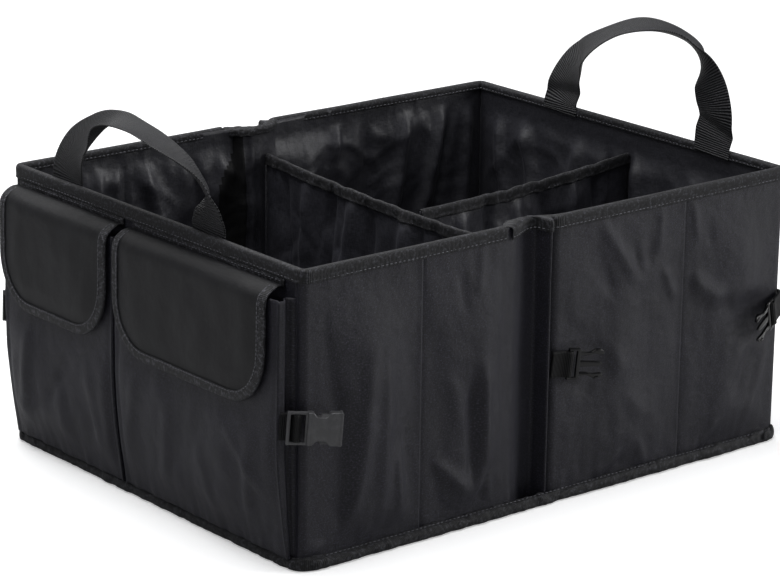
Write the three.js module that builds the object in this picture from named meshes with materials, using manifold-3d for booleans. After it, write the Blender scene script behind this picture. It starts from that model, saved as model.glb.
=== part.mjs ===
// A foldable car trunk organizer: a cloth box on two stiffened bays joined by a soft pleat, with a
// cross divider, a lengthwise divider, two flap pockets on one end, two webbing handles and
// side-release buckles. Millimetres, +Z up, origin at the centre of the underside.
// +X runs along the length, away from the pockets, and +Y runs to the rear long wall.
import * as THREE from "three";
import { mergeVertices } from "three/addons/utils/BufferGeometryUtils.js";
import Module from "manifold-3d";

const wasm = await Module();
wasm.setup();

// Overall sizes, outside the cloth
const bodyLength = 600;
const bodyWidth = 458;
const rimHeight = 281;
const cornerRadius = 6;

// Layers of a wall, from outside in
const clothThick = 1;
const boardThick = 2.5;
const liningThick = 0.8;
const seat = 0.3;
const wallThick = clothThick + boardThick + liningThick + 2 * seat;

// Floor
const floorBoardThick = 3;
const floorTop = clothThick + seat + floorBoardThick;

// Tape that binds the rim, and the heavier tape round the base
const tapeThick = 0.9;
const rimTapeDrop = 12;
const baseTapeOut = 9;
const baseTapeHeight = 10;
const baseTapeRadius = 22;

// Creases where the stiffeners part, and the pleats between the two bays
const leftCreaseX = -163;
const rightCreaseX = 165;
const creaseHalf = 3.5;
const creaseDepth = 1.2;
const boardClearOfCrease = 7;
const boardClearOfCorner = 7;
const boardFoot = 4;
const boardHeadDrop = 14;
const frontPleat = { from: -58, to: -10 };
const rearPleat = { from: -46, to: 2 };
const pleatDepth = 15;
const pleatRidge = 3.5;
const pleatSlack = 3.3;
const pleatHead = 6;
const pleatShelf = 5;
const pleatTail = 16;

// Dividers
const dividerThick = 1.6;
const dividerDrop = 30;
const crossFrontX = -33;
const crossRearX = -6;
const crossBottom = clothThick + seat;
const lengthwiseLeftY = -53;
const lengthwiseRightY = -11;
const dividerTapeDrop = 11;

// Pockets on the left end
const pocketInset = 9;
const pocketFrontY = pocketInset - bodyWidth / 2;
const pocketSplitY = 34;
const pocketRearY = bodyWidth / 2 - pocketInset;
const pocketGap = 4;
const pocketTop = rimHeight - 27;
const pocketCloth = 1.2;
const pocketDepth = { foot: 8, belly: 20, mouth: 18.5 };
const pocketBellyZ = 135;
const pocketRisesBelow = [100, 70, 35];
const pocketRisesAbove = [40, 80];
const gussetTuck = 4;

// Flaps over the pockets
const flapThick = 2;
const flapBead = 2.2;
const flapHingeZ = rimHeight - 18.5;
const flapLean = 0.8;
const flapHang = 113.5;
const flapHem = flapHingeZ - flapHang;
const flapCorner = 46;
const flapTape = 11;
const flapInset = 6;
const frontFlapInset = 14;
const flapBend = 30;
const headerDrop = 8;
const headerThick = 1.3;

// Hook and loop under the flaps
const gripLength = 80;
const gripHeight = 20;
const gripThick = 1.2;
const gripZ = flapHem + 29;
const flapFaceOut = pocketDepth.belly + 2 * gripThick + 2 * seat + flapThick / 2;
const flapHingeOut = headerThick + 2 * seat + flapBead;

// Handles of flat webbing, sewn inside the end walls
const webbingWide = 50;
const webbingThick = 2.2;
const handleFoot = rimHeight - 19;

// Buckles and the straps that hold them
const strapWide = 25;
const strapThick = 1.2;
const barHalf = 1.6;
const loopBore = 2.6;
const buckleWide = 31;
const slotHalf = 13;

const materials = {
  outer: new THREE.MeshStandardMaterial({ color: 0x26262a, roughness: 0.72, metalness: 0 }),
  lining: new THREE.MeshStandardMaterial({ color: 0x1c1c1f, roughness: 0.45, metalness: 0 }),
  tape: new THREE.MeshStandardMaterial({ color: 0x222225, roughness: 0.8, metalness: 0 }),
  webbing: new THREE.MeshStandardMaterial({ color: 0x1f1f22, roughness: 0.75, metalness: 0 }),
  board: new THREE.MeshStandardMaterial({ color: 0x4a4540, roughness: 0.9, metalness: 0 }),
  plastic: new THREE.MeshStandardMaterial({ color: 0x303032, roughness: 0.35, metalness: 0 }),
  grip: new THREE.MeshStandardMaterial({ color: 0x161618, roughness: 0.95, metalness: 0 }),
};

const organizer = new THREE.Group();

// Solids and meshes

function solidOf(geometry) {
  const bare = geometry.index ? geometry.toNonIndexed() : geometry.clone();
  bare.deleteAttribute("normal");
  bare.deleteAttribute("uv");
  const merged = mergeVertices(bare, 1e-4);
  return new wasm.Manifold(
    new wasm.Mesh({
      numProp: 3,
      vertProperties: new Float32Array(merged.attributes.position.array),
      triVerts: new Uint32Array(merged.index.array),
    }),
  );
}

function geometryOf(solid) {
  const mesh = solid.getMesh();
  const geometry = new THREE.BufferGeometry();
  geometry.setAttribute("position", new THREE.BufferAttribute(new Float32Array(mesh.vertProperties), 3));
  geometry.setIndex(new THREE.BufferAttribute(new Uint32Array(mesh.triVerts), 1));
  geometry.computeVertexNormals();
  return geometry;
}

function addMesh(group, name, geometry, material) {
  const mesh = new THREE.Mesh(geometry, material);
  mesh.name = name;
  group.add(mesh);
  return mesh;
}

// A flat box of a given size with its middle at a point.
function addSlab(group, name, size, at, material) {
  const slab = addMesh(group, name, new THREE.BoxGeometry(...size), material);
  slab.position.set(...at);
}

function shapeOf(points) {
  return new THREE.Shape(points.map(([x, y]) => new THREE.Vector2(x, y)));
}

// A plan outline raised from one height to another.
function upright(shape, low, high) {
  const settings = { depth: high - low, bevelEnabled: false, curveSegments: 5 };
  const geometry = new THREE.ExtrudeGeometry(shape, settings);
  geometry.translate(0, 0, low);
  return geometry;
}

function block(x0, x1, y0, y1, z0, z1) {
  const geometry = new THREE.BoxGeometry(x1 - x0, y1 - y0, z1 - z0);
  geometry.translate((x0 + x1) / 2, (y0 + y1) / 2, (z0 + z1) / 2);
  return geometry;
}

function roundedRectangle(halfX, halfY, radius) {
  const shape = new THREE.Shape();
  shape.moveTo(halfX - radius, -halfY);
  shape.absarc(halfX - radius, -halfY + radius, radius, -Math.PI / 2, 0);
  shape.absarc(halfX - radius, halfY - radius, radius, 0, Math.PI / 2);
  shape.absarc(-halfX + radius, halfY - radius, radius, Math.PI / 2, Math.PI);
  shape.absarc(-halfX + radius, -halfY + radius, radius, Math.PI, Math.PI * 1.5);
  return shape;
}

// A closed solid through rings of equally many points, with flat ends.
function loft(rings) {
  const count = rings[0].length;
  const positions = rings.flat().flatMap((p) => [p.x, p.y, p.z]);
  const index = [];
  for (let k = 0; k + 1 < rings.length; k++) {
    for (let i = 0; i < count; i++) {
      const j = (i + 1) % count;
      const a = k * count + i;
      const b = k * count + j;
      index.push(a, b, b + count, a, b + count, a + count);
    }
  }
  const first = rings[0];
  const across = new THREE.Vector3().subVectors(first[1], first[0]).normalize();
  const normal = new THREE.Vector3();
  for (let i = 0; i < count; i++) {
    normal.add(new THREE.Vector3().crossVectors(first[i], first[(i + 1) % count]));
  }
  normal.normalize();
  const up = new THREE.Vector3().crossVectors(normal, across);
  const flat = first.map((p) => new THREE.Vector2(p.dot(across), p.dot(up)));
  const last = (rings.length - 1) * count;
  for (const [a, b, c] of THREE.ShapeUtils.triangulateShape(flat, [])) {
    index.push(c, b, a, last + a, last + b, last + c);
  }
  const geometry = new THREE.BufferGeometry();
  geometry.setAttribute("position", new THREE.Float32BufferAttribute(positions, 3));
  geometry.setIndex(index);
  return outward(geometry);
}

// The same geometry with its faces turned outward.
function outward(geometry) {
  const p = geometry.attributes.position;
  const i = geometry.index.array;
  const [a, b, c] = [new THREE.Vector3(), new THREE.Vector3(), new THREE.Vector3()];
  let volume = 0;
  for (let k = 0; k < i.length; k += 3) {
    a.fromBufferAttribute(p, i[k]);
    b.fromBufferAttribute(p, i[k + 1]);
    c.fromBufferAttribute(p, i[k + 2]);
    volume += a.dot(b.cross(c));
  }
  if (volume < 0) {
    for (let k = 0; k < i.length; k += 3) {
      [i[k + 1], i[k + 2]] = [i[k + 2], i[k + 1]];
    }
  }
  return geometry;
}

// A section given as [out, up] swept round a rounded rectangle.
function sweepRound(halfX, halfY, radius, section, steps = 6) {
  const stations = [];
  const corners = [
    [1, -1, -Math.PI / 2],
    [1, 1, 0],
    [-1, 1, Math.PI / 2],
    [-1, -1, Math.PI],
  ];
  for (const [sx, sy, start] of corners) {
    for (let k = 0; k <= steps; k++) {
      const angle = start + (k / steps) * (Math.PI / 2);
      stations.push({
        x: sx * (halfX - radius),
        y: sy * (halfY - radius),
        dx: Math.cos(angle),
        dy: Math.sin(angle),
      });
    }
  }
  const count = section.length;
  const positions = stations.flatMap((s) =>
    section.flatMap(([out, up]) => [s.x + s.dx * (radius + out), s.y + s.dy * (radius + out), up]),
  );
  const index = [];
  for (let k = 0; k < stations.length; k++) {
    const next = (k + 1) % stations.length;
    for (let i = 0; i < count; i++) {
      const j = (i + 1) % count;
      index.push(k * count + i, next * count + i, next * count + j);
      index.push(k * count + i, next * count + j, k * count + j);
    }
  }
  const geometry = new THREE.BufferGeometry();
  geometry.setAttribute("position", new THREE.Float32BufferAttribute(positions, 3));
  geometry.setIndex(index);
  return outward(geometry);
}

// Long walls. Each is drawn with x along the world's length and depth measured inward.

const halfLength = bodyLength / 2;
const halfWidth = bodyWidth / 2;
const wrapBack = cornerRadius + 2;
const boardTall = rimHeight - boardHeadDrop - boardFoot;

// The cloth's outer face across a pleat: it sinks in, comes out to a stitched ridge, and steps back a little
// behind it. Growing it moves the face outward, and the ridge's steep flanks sideways by as much.
function pleatFace(pleat, grow = 0) {
  const wide = pleat.to - pleat.from;
  const path = [
    [pleat.from, 0],
    [pleat.from + wide * 0.28, pleatDepth * 0.4],
    [pleat.from + wide * 0.56, pleatDepth * 0.95],
    [pleat.to - 8 - grow, pleatDepth],
    [pleat.to - 1.6 - grow, -pleatRidge + 1.5],
    [pleat.to, -pleatRidge],
    [pleat.to + 1.4 + grow, -pleatRidge + 1.5],
    [pleat.to + 2.6 + grow, pleatShelf],
    [pleat.to + 6, pleatShelf],
    [pleat.to + pleatTail - 2, 0],
  ];
  return shifted(path, -grow);
}

// The same stretch on the back of the cloth, where the ridge is closed by its stitching.
function pleatBack(pleat) {
  return pleatFace(pleat)
    .filter(([x]) => x < pleat.to - 2 || x > pleat.to + 2)
    .map(([x, depth]) => [x, depth + clothThick]);
}

// The room that a pleat takes behind the cloth, up to the lining.
function pleatRoom(pleat) {
  const deep = pleatDepth + clothThick + pleatSlack;
  return [
    [pleat.from - 4, wallThick - liningThick],
    [pleat.from + 8, deep],
    [pleat.to - 4, deep],
    [pleat.to + pleatTail - 1, wallThick - liningThick],
  ];
}

function creaseFace(x) {
  return [
    [x - creaseHalf, 0],
    [x, creaseDepth],
    [x + creaseHalf, 0],
  ];
}

function shifted(path, depth) {
  return path.map(([x, d]) => [x, d + depth]);
}

function cornerFace(side) {
  const steps = 4;
  const points = [];
  for (let k = 0; k <= steps; k++) {
    const angle = (k / steps) * (Math.PI / 2);
    points.push([
      side * (halfLength - cornerRadius + cornerRadius * Math.sin(angle)),
      cornerRadius - cornerRadius * Math.cos(angle),
    ]);
  }
  points.push([side * halfLength, wrapBack]);
  return side < 0 ? points.reverse() : points;
}

function cornerBack(side) {
  return cornerFace(side).map(([x, depth]) => {
    const along = Math.abs(x) - (halfLength - cornerRadius);
    const angle = depth >= cornerRadius ? Math.PI / 2 : Math.atan2(along, cornerRadius - depth);
    const flat = depth > cornerRadius ? depth : depth + clothThick * Math.cos(angle);
    return [x - side * clothThick * Math.sin(angle), flat];
  });
}

function longWall(label, side, pleat) {
  const wall = new THREE.Group();
  wall.position.y = side * halfWidth;
  const toPlan = (path) => path.map(([x, depth]) => [x, -side * depth]);
  const face = [
    ...cornerFace(-1),
    ...creaseFace(leftCreaseX),
    ...pleatFace(pleat),
    ...creaseFace(rightCreaseX),
    ...cornerFace(1),
  ];
  const back = [
    ...cornerBack(-1),
    ...shifted(creaseFace(leftCreaseX), clothThick),
    ...pleatBack(pleat),
    ...shifted(creaseFace(rightCreaseX), clothThick),
    ...cornerBack(1),
  ];
  const foot = clothThick + seat;
  const head = rimHeight - tapeThick - seat;
  const cloth = solidOf(upright(shapeOf(toPlan([...face, ...back.reverse()])), foot, head));
  const y0 = side < 0 ? -pleatRidge - 1 : -0.05;
  const y1 = side < 0 ? 0.05 : pleatRidge + 1;
  const aboveTape = block(pleat.to - 9, pleat.to + 4, y0, y1, 0, baseTapeHeight + seat);
  addMesh(wall, `${label}_outer_cloth`, geometryOf(cloth.subtract(solidOf(aboveTape))), materials.outer);

  const inner = halfLength - wallThick + liningThick - seat;
  const lining = [
    [-inner, wallThick - liningThick],
    ...pleatRoom(pleat),
    [inner, wallThick - liningThick],
  ];
  const liningPlan = toPlan([...lining, ...shifted(lining, liningThick).reverse()]);
  addMesh(wall, `${label}_lining`, upright(shapeOf(liningPlan), foot, head), materials.lining);

  const boardIn = clothThick + seat;
  const spans = [
    ["board_1", -halfLength + boardClearOfCorner, leftCreaseX - boardClearOfCrease],
    ["board_2", leftCreaseX + boardClearOfCrease, pleat.from - boardClearOfCrease],
    ["board_3", pleat.to + pleatTail + 1, rightCreaseX - boardClearOfCrease],
    ["board_4", rightCreaseX + boardClearOfCrease, halfLength - boardClearOfCorner],
  ];
  for (const [name, from, to] of spans) {
    const at = [(from + to) / 2, -side * (boardIn + boardThick / 2), boardFoot + boardTall / 2];
    addSlab(wall, `${label}_${name}`, [to - from, boardThick, boardTall], at, materials.board);
  }
  organizer.add(wall);
  return wall;
}

const frontWall = longWall("front", -1, frontPleat);
const rearWall = longWall("rear", 1, rearPleat);

// End walls, between the corners of the long walls

function endWall(label, side) {
  const wall = new THREE.Group();
  wall.position.x = side * halfLength;
  const foot = clothThick + seat;
  const head = rimHeight - tapeThick - seat;
  const tall = head - foot;
  const middle = (head + foot) / 2;
  const clothWide = bodyWidth - 2 * (wrapBack + seat);
  const clothAt = [-side * (clothThick / 2), 0, middle];
  addSlab(wall, `${label}_end_outer_cloth`, [clothThick, clothWide, tall], clothAt, materials.outer);
  const boardWide = bodyWidth - 2 * (wrapBack + 1);
  const boardAt = [-side * (clothThick + seat + boardThick / 2), 0, boardFoot + boardTall / 2];
  addSlab(wall, `${label}_end_board`, [boardThick, boardWide, boardTall], boardAt, materials.board);
  const liningWide = bodyWidth - 2 * (wallThick + seat);
  const liningAt = [-side * (wallThick - liningThick / 2), 0, middle];
  addSlab(wall, `${label}_end_lining`, [liningThick, liningWide, tall], liningAt, materials.lining);
  organizer.add(wall);
  return wall;
}

const leftEnd = endWall("left", -1);
endWall("right", 1);

// Base

const bottomCloth = upright(roundedRectangle(halfLength, halfWidth, cornerRadius), 0, clothThick);
addMesh(organizer, "bottom_cloth", bottomCloth, materials.outer);

const baseTapeSection = [
  [seat, 0],
  [baseTapeOut * 0.75, 0],
  [baseTapeOut, baseTapeHeight * 0.25],
  [baseTapeOut, baseTapeHeight * 0.55],
  [baseTapeOut * 0.7, baseTapeHeight * 0.88],
  [baseTapeOut * 0.3, baseTapeHeight],
  [seat, baseTapeHeight],
];

// The tape turns a wide corner outside while its inner edge follows the tighter corner of the cloth.
function baseTape() {
  const outerGrow = baseTapeOut;
  const hull = baseTapeSection.map(([out, up]) => [out - outerGrow, up]);
  hull[0][0] = -(baseTapeRadius + baseTapeOut) * 0.6;
  hull[hull.length - 1][0] = hull[0][0];
  const ring = solidOf(sweepRound(halfLength + outerGrow, halfWidth + outerGrow, baseTapeRadius, hull));
  const inside = upright(
    roundedRectangle(halfLength + seat, halfWidth + seat, cornerRadius + seat),
    -1,
    baseTapeHeight + 1,
  );
  return geometryOf(ring.subtract(solidOf(inside)));
}
addMesh(organizer, "base_binding", baseTape(), materials.tape);

// Where the cross divider stands at a given depth of the body
function crossX(y) {
  return THREE.MathUtils.mapLinear(y, -halfWidth, halfWidth, crossFrontX, crossRearX);
}

function pleatFloorRoom(side, pleat) {
  const clear = liningThick + 0.5;
  const room = pleatRoom(pleat);
  const inner = shifted(room, clear);
  inner[0][0] -= 2;
  inner[inner.length - 1][0] += 2;
  const plan = [[inner[0][0], 0], ...inner, [inner[inner.length - 1][0], 0]];
  const outline = plan.map(([x, depth]) => [x, side * (halfWidth - depth)]);
  return turnedSolid(shapeOf(outline), 0, floorTop + 5);
}

// A raised outline as a solid, whichever way round its points run.
function turnedSolid(shape, low, high) {
  const geometry = upright(shape, low, high);
  geometry.deleteAttribute("normal");
  geometry.deleteAttribute("uv");
  return solidOf(outward(mergeVertices(geometry)));
}

function floorBoard(name, side) {
  const edge = wallThick + 0.5;
  const y = halfWidth - edge;
  const endX = side * (halfLength - edge);
  const gap = side * (dividerThick / 2 + 0.5);
  const plan = [
    [endX, -y],
    [crossX(-y) + gap, -y],
    [crossX(y) + gap, y],
    [endX, y],
  ];
  let board = solidOf(upright(shapeOf(plan), clothThick + seat, floorTop));
  board = board.subtract(pleatFloorRoom(-1, frontPleat)).subtract(pleatFloorRoom(1, rearPleat));
  addMesh(organizer, name, geometryOf(board), materials.board);
}
floorBoard("left_floor_board", -1);
floorBoard("right_floor_board", 1);

// Rim tape: one run round each bay, and a short run over each pleat

const tapeOut = tapeThick + seat;

function rimBlank(grow, low, high) {
  const shape = roundedRectangle(halfLength + grow, halfWidth + grow, cornerRadius + grow);
  const inset = wallThick + grow;
  const hole = roundedRectangle(halfLength - inset, halfWidth - inset, 1);
  shape.holes.push(hole);
  return solidOf(upright(shape, low, high));
}

const rimRun = rimBlank(tapeOut, rimHeight - rimTapeDrop, rimHeight).subtract(
  rimBlank(seat, rimHeight - rimTapeDrop - 1, rimHeight - tapeThick),
);

function rimTape(name, side) {
  const far = side * (halfLength + 20);
  const reach = (x) => [Math.min(far, x), Math.max(far, x)];
  const frontEnd = side < 0 ? frontPleat.from - pleatHead : frontPleat.to + pleatTail;
  const rearEnd = side < 0 ? rearPleat.from - pleatHead : rearPleat.to + pleatTail;
  const top = rimHeight + 1;
  const front = block(...reach(frontEnd), -halfWidth - 20, 0, 0, top);
  const rear = block(...reach(rearEnd), 0, halfWidth + 20, 0, top);
  const run = rimRun.intersect(solidOf(front).add(solidOf(rear)));
  addMesh(organizer, name, geometryOf(run), materials.tape);
}
rimTape("left_bay_rim_binding", -1);
rimTape("right_bay_rim_binding", 1);

function pleatTape(name, side, pleat) {
  const start = pleat.from - pleatHead + seat;
  const end = pleat.to + pleatTail - seat;
  const room = pleatRoom(pleat);
  const inner = [[start, wallThick - liningThick], ...room.slice(1, 3), [end, wallThick - liningThick]];
  const ring = (out) => {
    const face = [[start, -out], ...pleatFace(pleat, out), [end, -out]];
    const run = [...face, ...shifted(inner, liningThick + out).reverse()];
    return shapeOf(run.map(([x, depth]) => [x, side * (halfWidth - depth)]));
  };
  const whole = turnedSolid(ring(tapeOut), rimHeight - rimTapeDrop, rimHeight);
  const core = turnedSolid(ring(seat), rimHeight - rimTapeDrop - 1, rimHeight - tapeThick);
  addMesh(organizer, name, geometryOf(whole.subtract(core)), materials.tape);
}
pleatTape("front_pleat_binding", -1, frontPleat);
pleatTape("rear_pleat_binding", 1, rearPleat);

// Dividers with a bound top edge

const dividerTop = rimHeight - dividerDrop;

// A straight sheet standing between two plan points, cut square to the walls that it meets.
function sheetPlan(from, to, half) {
  const across = new THREE.Vector2(from[1] - to[1], to[0] - from[0]).normalize().multiplyScalar(half);
  return shapeOf([
    [from[0] - across.x, from[1] - across.y],
    [to[0] - across.x, to[1] - across.y],
    [to[0] + across.x, to[1] + across.y],
    [from[0] + across.x, from[1] + across.y],
  ]);
}

function divider(label, from, to, bottom) {
  const half = dividerThick / 2;
  const top = dividerTop - tapeThick - seat;
  addMesh(organizer, label, upright(sheetPlan(from, to, half), bottom, top), materials.lining);
  const tapeFoot = dividerTop - dividerTapeDrop;
  const whole = solidOf(upright(sheetPlan(from, to, half + tapeOut), tapeFoot, dividerTop));
  const past = new THREE.Vector2(to[0] - from[0], to[1] - from[1]).normalize().multiplyScalar(10);
  const start = [from[0] - past.x, from[1] - past.y];
  const end = [to[0] + past.x, to[1] + past.y];
  const longer = sheetPlan(start, end, half + seat);
  const core = solidOf(upright(longer, dividerTop - dividerTapeDrop - 1, dividerTop - tapeThick));
  addMesh(organizer, `${label}_binding`, geometryOf(whole.subtract(core)), materials.tape);
}

const pleatLiningIn = pleatDepth + clothThick + pleatSlack + liningThick;
const crossEndY = halfWidth - pleatLiningIn - 2 * seat;
divider("cross_divider", [crossX(-crossEndY), -crossEndY], [crossX(crossEndY), crossEndY], crossBottom);
const lengthwiseFromX = crossX(lengthwiseLeftY) + dividerThick / 2 + tapeOut + 2 * seat;
const lengthwiseToX = halfLength - wallThick - 2 * seat;
divider(
  "lengthwise_divider",
  [lengthwiseFromX, lengthwiseLeftY],
  [lengthwiseToX, lengthwiseRightY],
  floorTop + seat,
);

// Pockets: a front panel with tucked side gussets, closed at the foot and open at the top

const pocketFoot = baseTapeHeight + 0.5;

function pocketDepthAt(z) {
  const { foot, belly, mouth } = pocketDepth;
  if (z < pocketBellyZ) {
    const rise = (z - pocketFoot) / (pocketBellyZ - pocketFoot);
    return THREE.MathUtils.lerp(foot, belly, Math.sin((rise * Math.PI) / 2));
  }
  return THREE.MathUtils.mapLinear(z, pocketBellyZ, pocketTop, belly, mouth);
}

// Half of the pocket's plan at one height, from the wall out round one corner, as [out, across].
function pocketEdge(depth, half, inset) {
  const back = inset ? -1 : seat;
  const tuck = half - gussetTuck * Math.min(1, depth / pocketDepth.mouth);
  return [
    [back, half - inset],
    [seat + (depth - seat) * 0.3, half - inset],
    [seat + (depth - seat) * 0.55, tuck - inset],
    [depth - inset * 1.6, half - inset * 1.4],
    [depth - inset, half - 3 - inset],
  ];
}

function pocket(name, y0, y1) {
  const half = (y1 - y0) / 2;
  const below = pocketRisesBelow.map((drop) => pocketBellyZ - drop);
  const above = pocketRisesAbove.map((rise) => pocketBellyZ + rise);
  const heights = [pocketFoot, ...below, pocketBellyZ, ...above, pocketTop];
  const ringAt = (inset) => (z) => {
    const edge = pocketEdge(pocketDepthAt(z), half, inset);
    const round = [...edge.map(([out, y]) => [out, -y]), ...edge.reverse()];
    return round.map(([out, y]) => new THREE.Vector3(-out, y, z));
  };
  const outer = solidOf(loft(heights.map(ringAt(0))));
  const innerHeights = [pocketFoot + pocketCloth, ...heights.slice(1, -1), pocketTop + 1];
  const inner = solidOf(loft(innerHeights.map(ringAt(pocketCloth))));
  const mesh = addMesh(leftEnd, name, geometryOf(outer.subtract(inner)), materials.outer);
  mesh.position.y = (y0 + y1) / 2;
  return mesh;
}
pocket("front_pocket", pocketFrontY, pocketSplitY - pocketGap / 2);
pocket("rear_pocket", pocketSplitY + pocketGap / 2, pocketRearY);

// Flaps. A flap is a sheet that leaves its seam, turns over the pocket's mouth and hangs to its hem.

const flapTurn = 18;
const flapLine = new THREE.Path();
flapLine.moveTo(flapHingeOut, flapHingeZ);
flapLine.bezierCurveTo(
  flapHingeOut + 9,
  flapHingeZ - 0.8,
  flapFaceOut,
  flapHingeZ + 1,
  flapFaceOut,
  flapHingeZ - flapTurn,
);
flapLine.lineTo(flapFaceOut + flapLean, flapHem);
const flapReach = flapLine.getLength();

// A flap grown by some amount all round: its half width narrows round the two lower corners.
function flapSolid(half, grow, thick, startAt = 0) {
  const reach = flapReach + grow;
  const wide = half + grow;
  const corner = flapCorner + grow;
  const bend = 9;
  const stops = [];
  for (let k = 0; k <= bend; k++) {
    stops.push(startAt + (flapBend - startAt) * (k / bend));
  }
  stops.push((flapBend + reach - corner) / 2);
  const round = 7;
  for (let k = 0; k <= round; k++) {
    stops.push(reach - corner + corner * Math.sin((k / round) * (Math.PI / 2)));
  }
  const rings = stops.map((s) => {
    const t = Math.min(s / flapReach, 1);
    const at = flapLine.getPointAt(t);
    const tangent = flapLine.getTangentAt(t);
    const past = Math.max(s - flapReach, 0);
    const centre = new THREE.Vector2(at.x + tangent.x * past, at.y + tangent.y * past);
    const normal = new THREE.Vector2(tangent.y, -tangent.x).multiplyScalar(thick / 2);
    const into = Math.max(s - (reach - corner), 0);
    const narrow = corner - Math.sqrt(Math.max(corner * corner - into * into, 0));
    const y = wide - narrow;
    return [
      [centre.x - normal.x, -y, centre.y - normal.y],
      [centre.x + normal.x, -y, centre.y + normal.y],
      [centre.x + normal.x, y, centre.y + normal.y],
      [centre.x - normal.x, y, centre.y - normal.y],
    ].map(([out, across, up]) => new THREE.Vector3(-out, across, up));
  });
  return solidOf(loft(rings));
}

function flap(label, y0, y1) {
  const half = (y1 - y0) / 2;
  const group = new THREE.Group();
  group.position.y = (y0 + y1) / 2;
  const bead = new THREE.CylinderGeometry(flapBead, flapBead, 2 * (half - tapeOut), 12);
  bead.translate(-flapHingeOut, 0, flapHingeZ);
  const sheet = flapSolid(half - tapeOut, -tapeOut, flapThick);
  addMesh(group, `${label}_flap`, geometryOf(sheet.add(solidOf(bead))), materials.outer);
  const boundFrom = flapBead + 2 * seat;
  const bound = flapSolid(half, 0, flapThick + 2 * tapeOut, boundFrom)
    .subtract(flapSolid(half - tapeThick, -tapeThick, flapThick + 2 * seat, boundFrom - 1.5))
    .subtract(flapSolid(half - flapTape, -flapTape, flapThick + 12, boundFrom - 1.5));
  addMesh(group, `${label}_flap_binding`, geometryOf(bound), materials.tape);
  const hookTop = gripZ + gripHeight / 2;
  const leanThere = THREE.MathUtils.mapLinear(hookTop, flapHingeZ - flapTurn, flapHem, 0, flapLean);
  const hookOut = flapFaceOut + leanThere - flapThick / 2 - seat - gripThick / 2;
  const strip = [gripThick, gripLength, gripHeight];
  addSlab(group, `${label}_flap_hook_strip`, strip, [-hookOut, 0, gripZ], materials.grip);
  const loopOut = pocketDepthAt(gripZ - gripHeight / 2) + seat + gripThick / 2;
  addSlab(group, `${label}_pocket_loop_strip`, strip, [-loopOut, 0, gripZ], materials.grip);
  const headerTop = rimHeight - rimTapeDrop - 2 * seat;
  const headerAt = [-seat - headerThick / 2, 0, headerTop - headerDrop / 2];
  addSlab(group, `${label}_flap_header`, [headerThick, y1 - y0 - 2, headerDrop], headerAt, materials.tape);
  leftEnd.add(group);
}
flap("front", pocketFrontY + frontFlapInset, pocketSplitY - flapInset);
flap("rear", pocketSplitY + flapInset, pocketRearY - 1);

// Handles. Each point is [across the end wall, rise from the foot, lean out of the wall, twist in degrees].

const handleX = halfLength - wallThick - tapeOut - seat - webbingThick / 2;
const leftHandleRoute = [
  [147, 12, 0, 0],
  [146, 28, 0, 0],
  [134, 50, 0, -12],
  [112, 68, 0, -32],
  [85, 82, 4, -51],
  [55, 95, 7, -88],
  [8, 94, 7, -104],
  [-30, 83, 5, -112],
  [-58, 71, 2, -126],
  [-76, 57, 0, -144],
  [-81, 43, 0, -164],
  [-81, 28, 0, -180],
  [-80, 12, 0, -180],
];
const rightHandleRoute = [
  [93, 12, 0, 0],
  [92, 28, 0, 0],
  [77, 58, 0, 14],
  [46, 91, -3, 50],
  [-5, 119, 1, 72],
  [-61, 126, 2, 98],
  [-100, 119, 1, 122],
  [-113, 106, 1, 144],
  [-126, 87, -2, 172],
  [-137, 57, -2, 179],
  [-134, 28, 0, 180],
  [-133, 12, 0, 180],
];

function handle(name, side, route) {
  const points = route.map(
    ([y, rise, lean]) => new THREE.Vector3(side * (handleX + lean), y, handleFoot + rise),
  );
  const path = new THREE.CatmullRomCurve3(points, false, "centripetal");
  const twists = route.map((stop) => stop[3]);
  const steps = 3 * (route.length - 1);
  const wallNormal = new THREE.Vector3(1, 0, 0);
  const rings = [];
  for (let k = 0; k <= steps; k++) {
    const t = k / steps;
    const at = path.getPoint(t);
    const tangent = path.getTangent(t);
    const place = t * (route.length - 1);
    const low = Math.min(Math.floor(place), route.length - 2);
    const twist = THREE.MathUtils.degToRad(THREE.MathUtils.lerp(twists[low], twists[low + 1], place - low));
    const flat = new THREE.Vector3().crossVectors(tangent, wallNormal).normalize();
    const across = flat.multiplyScalar(Math.cos(twist)).addScaledVector(wallNormal, side * Math.sin(twist));
    across.addScaledVector(tangent, -across.dot(tangent)).normalize();
    const normal = new THREE.Vector3().crossVectors(tangent, across).multiplyScalar(webbingThick / 2);
    across.multiplyScalar(webbingWide / 2);
    rings.push([
      at.clone().sub(across).sub(normal),
      at.clone().add(across).sub(normal),
      at.clone().add(across).add(normal),
      at.clone().sub(across).add(normal),
    ]);
  }
  addMesh(organizer, name, loft(rings), materials.webbing);
}
handle("left_handle", -1, leftHandleRoute);
handle("right_handle", 1, rightHandleRoute);

// Buckles. In a buckle's own frame the held bar lies on Z at the origin, +X points to the free end.

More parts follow.
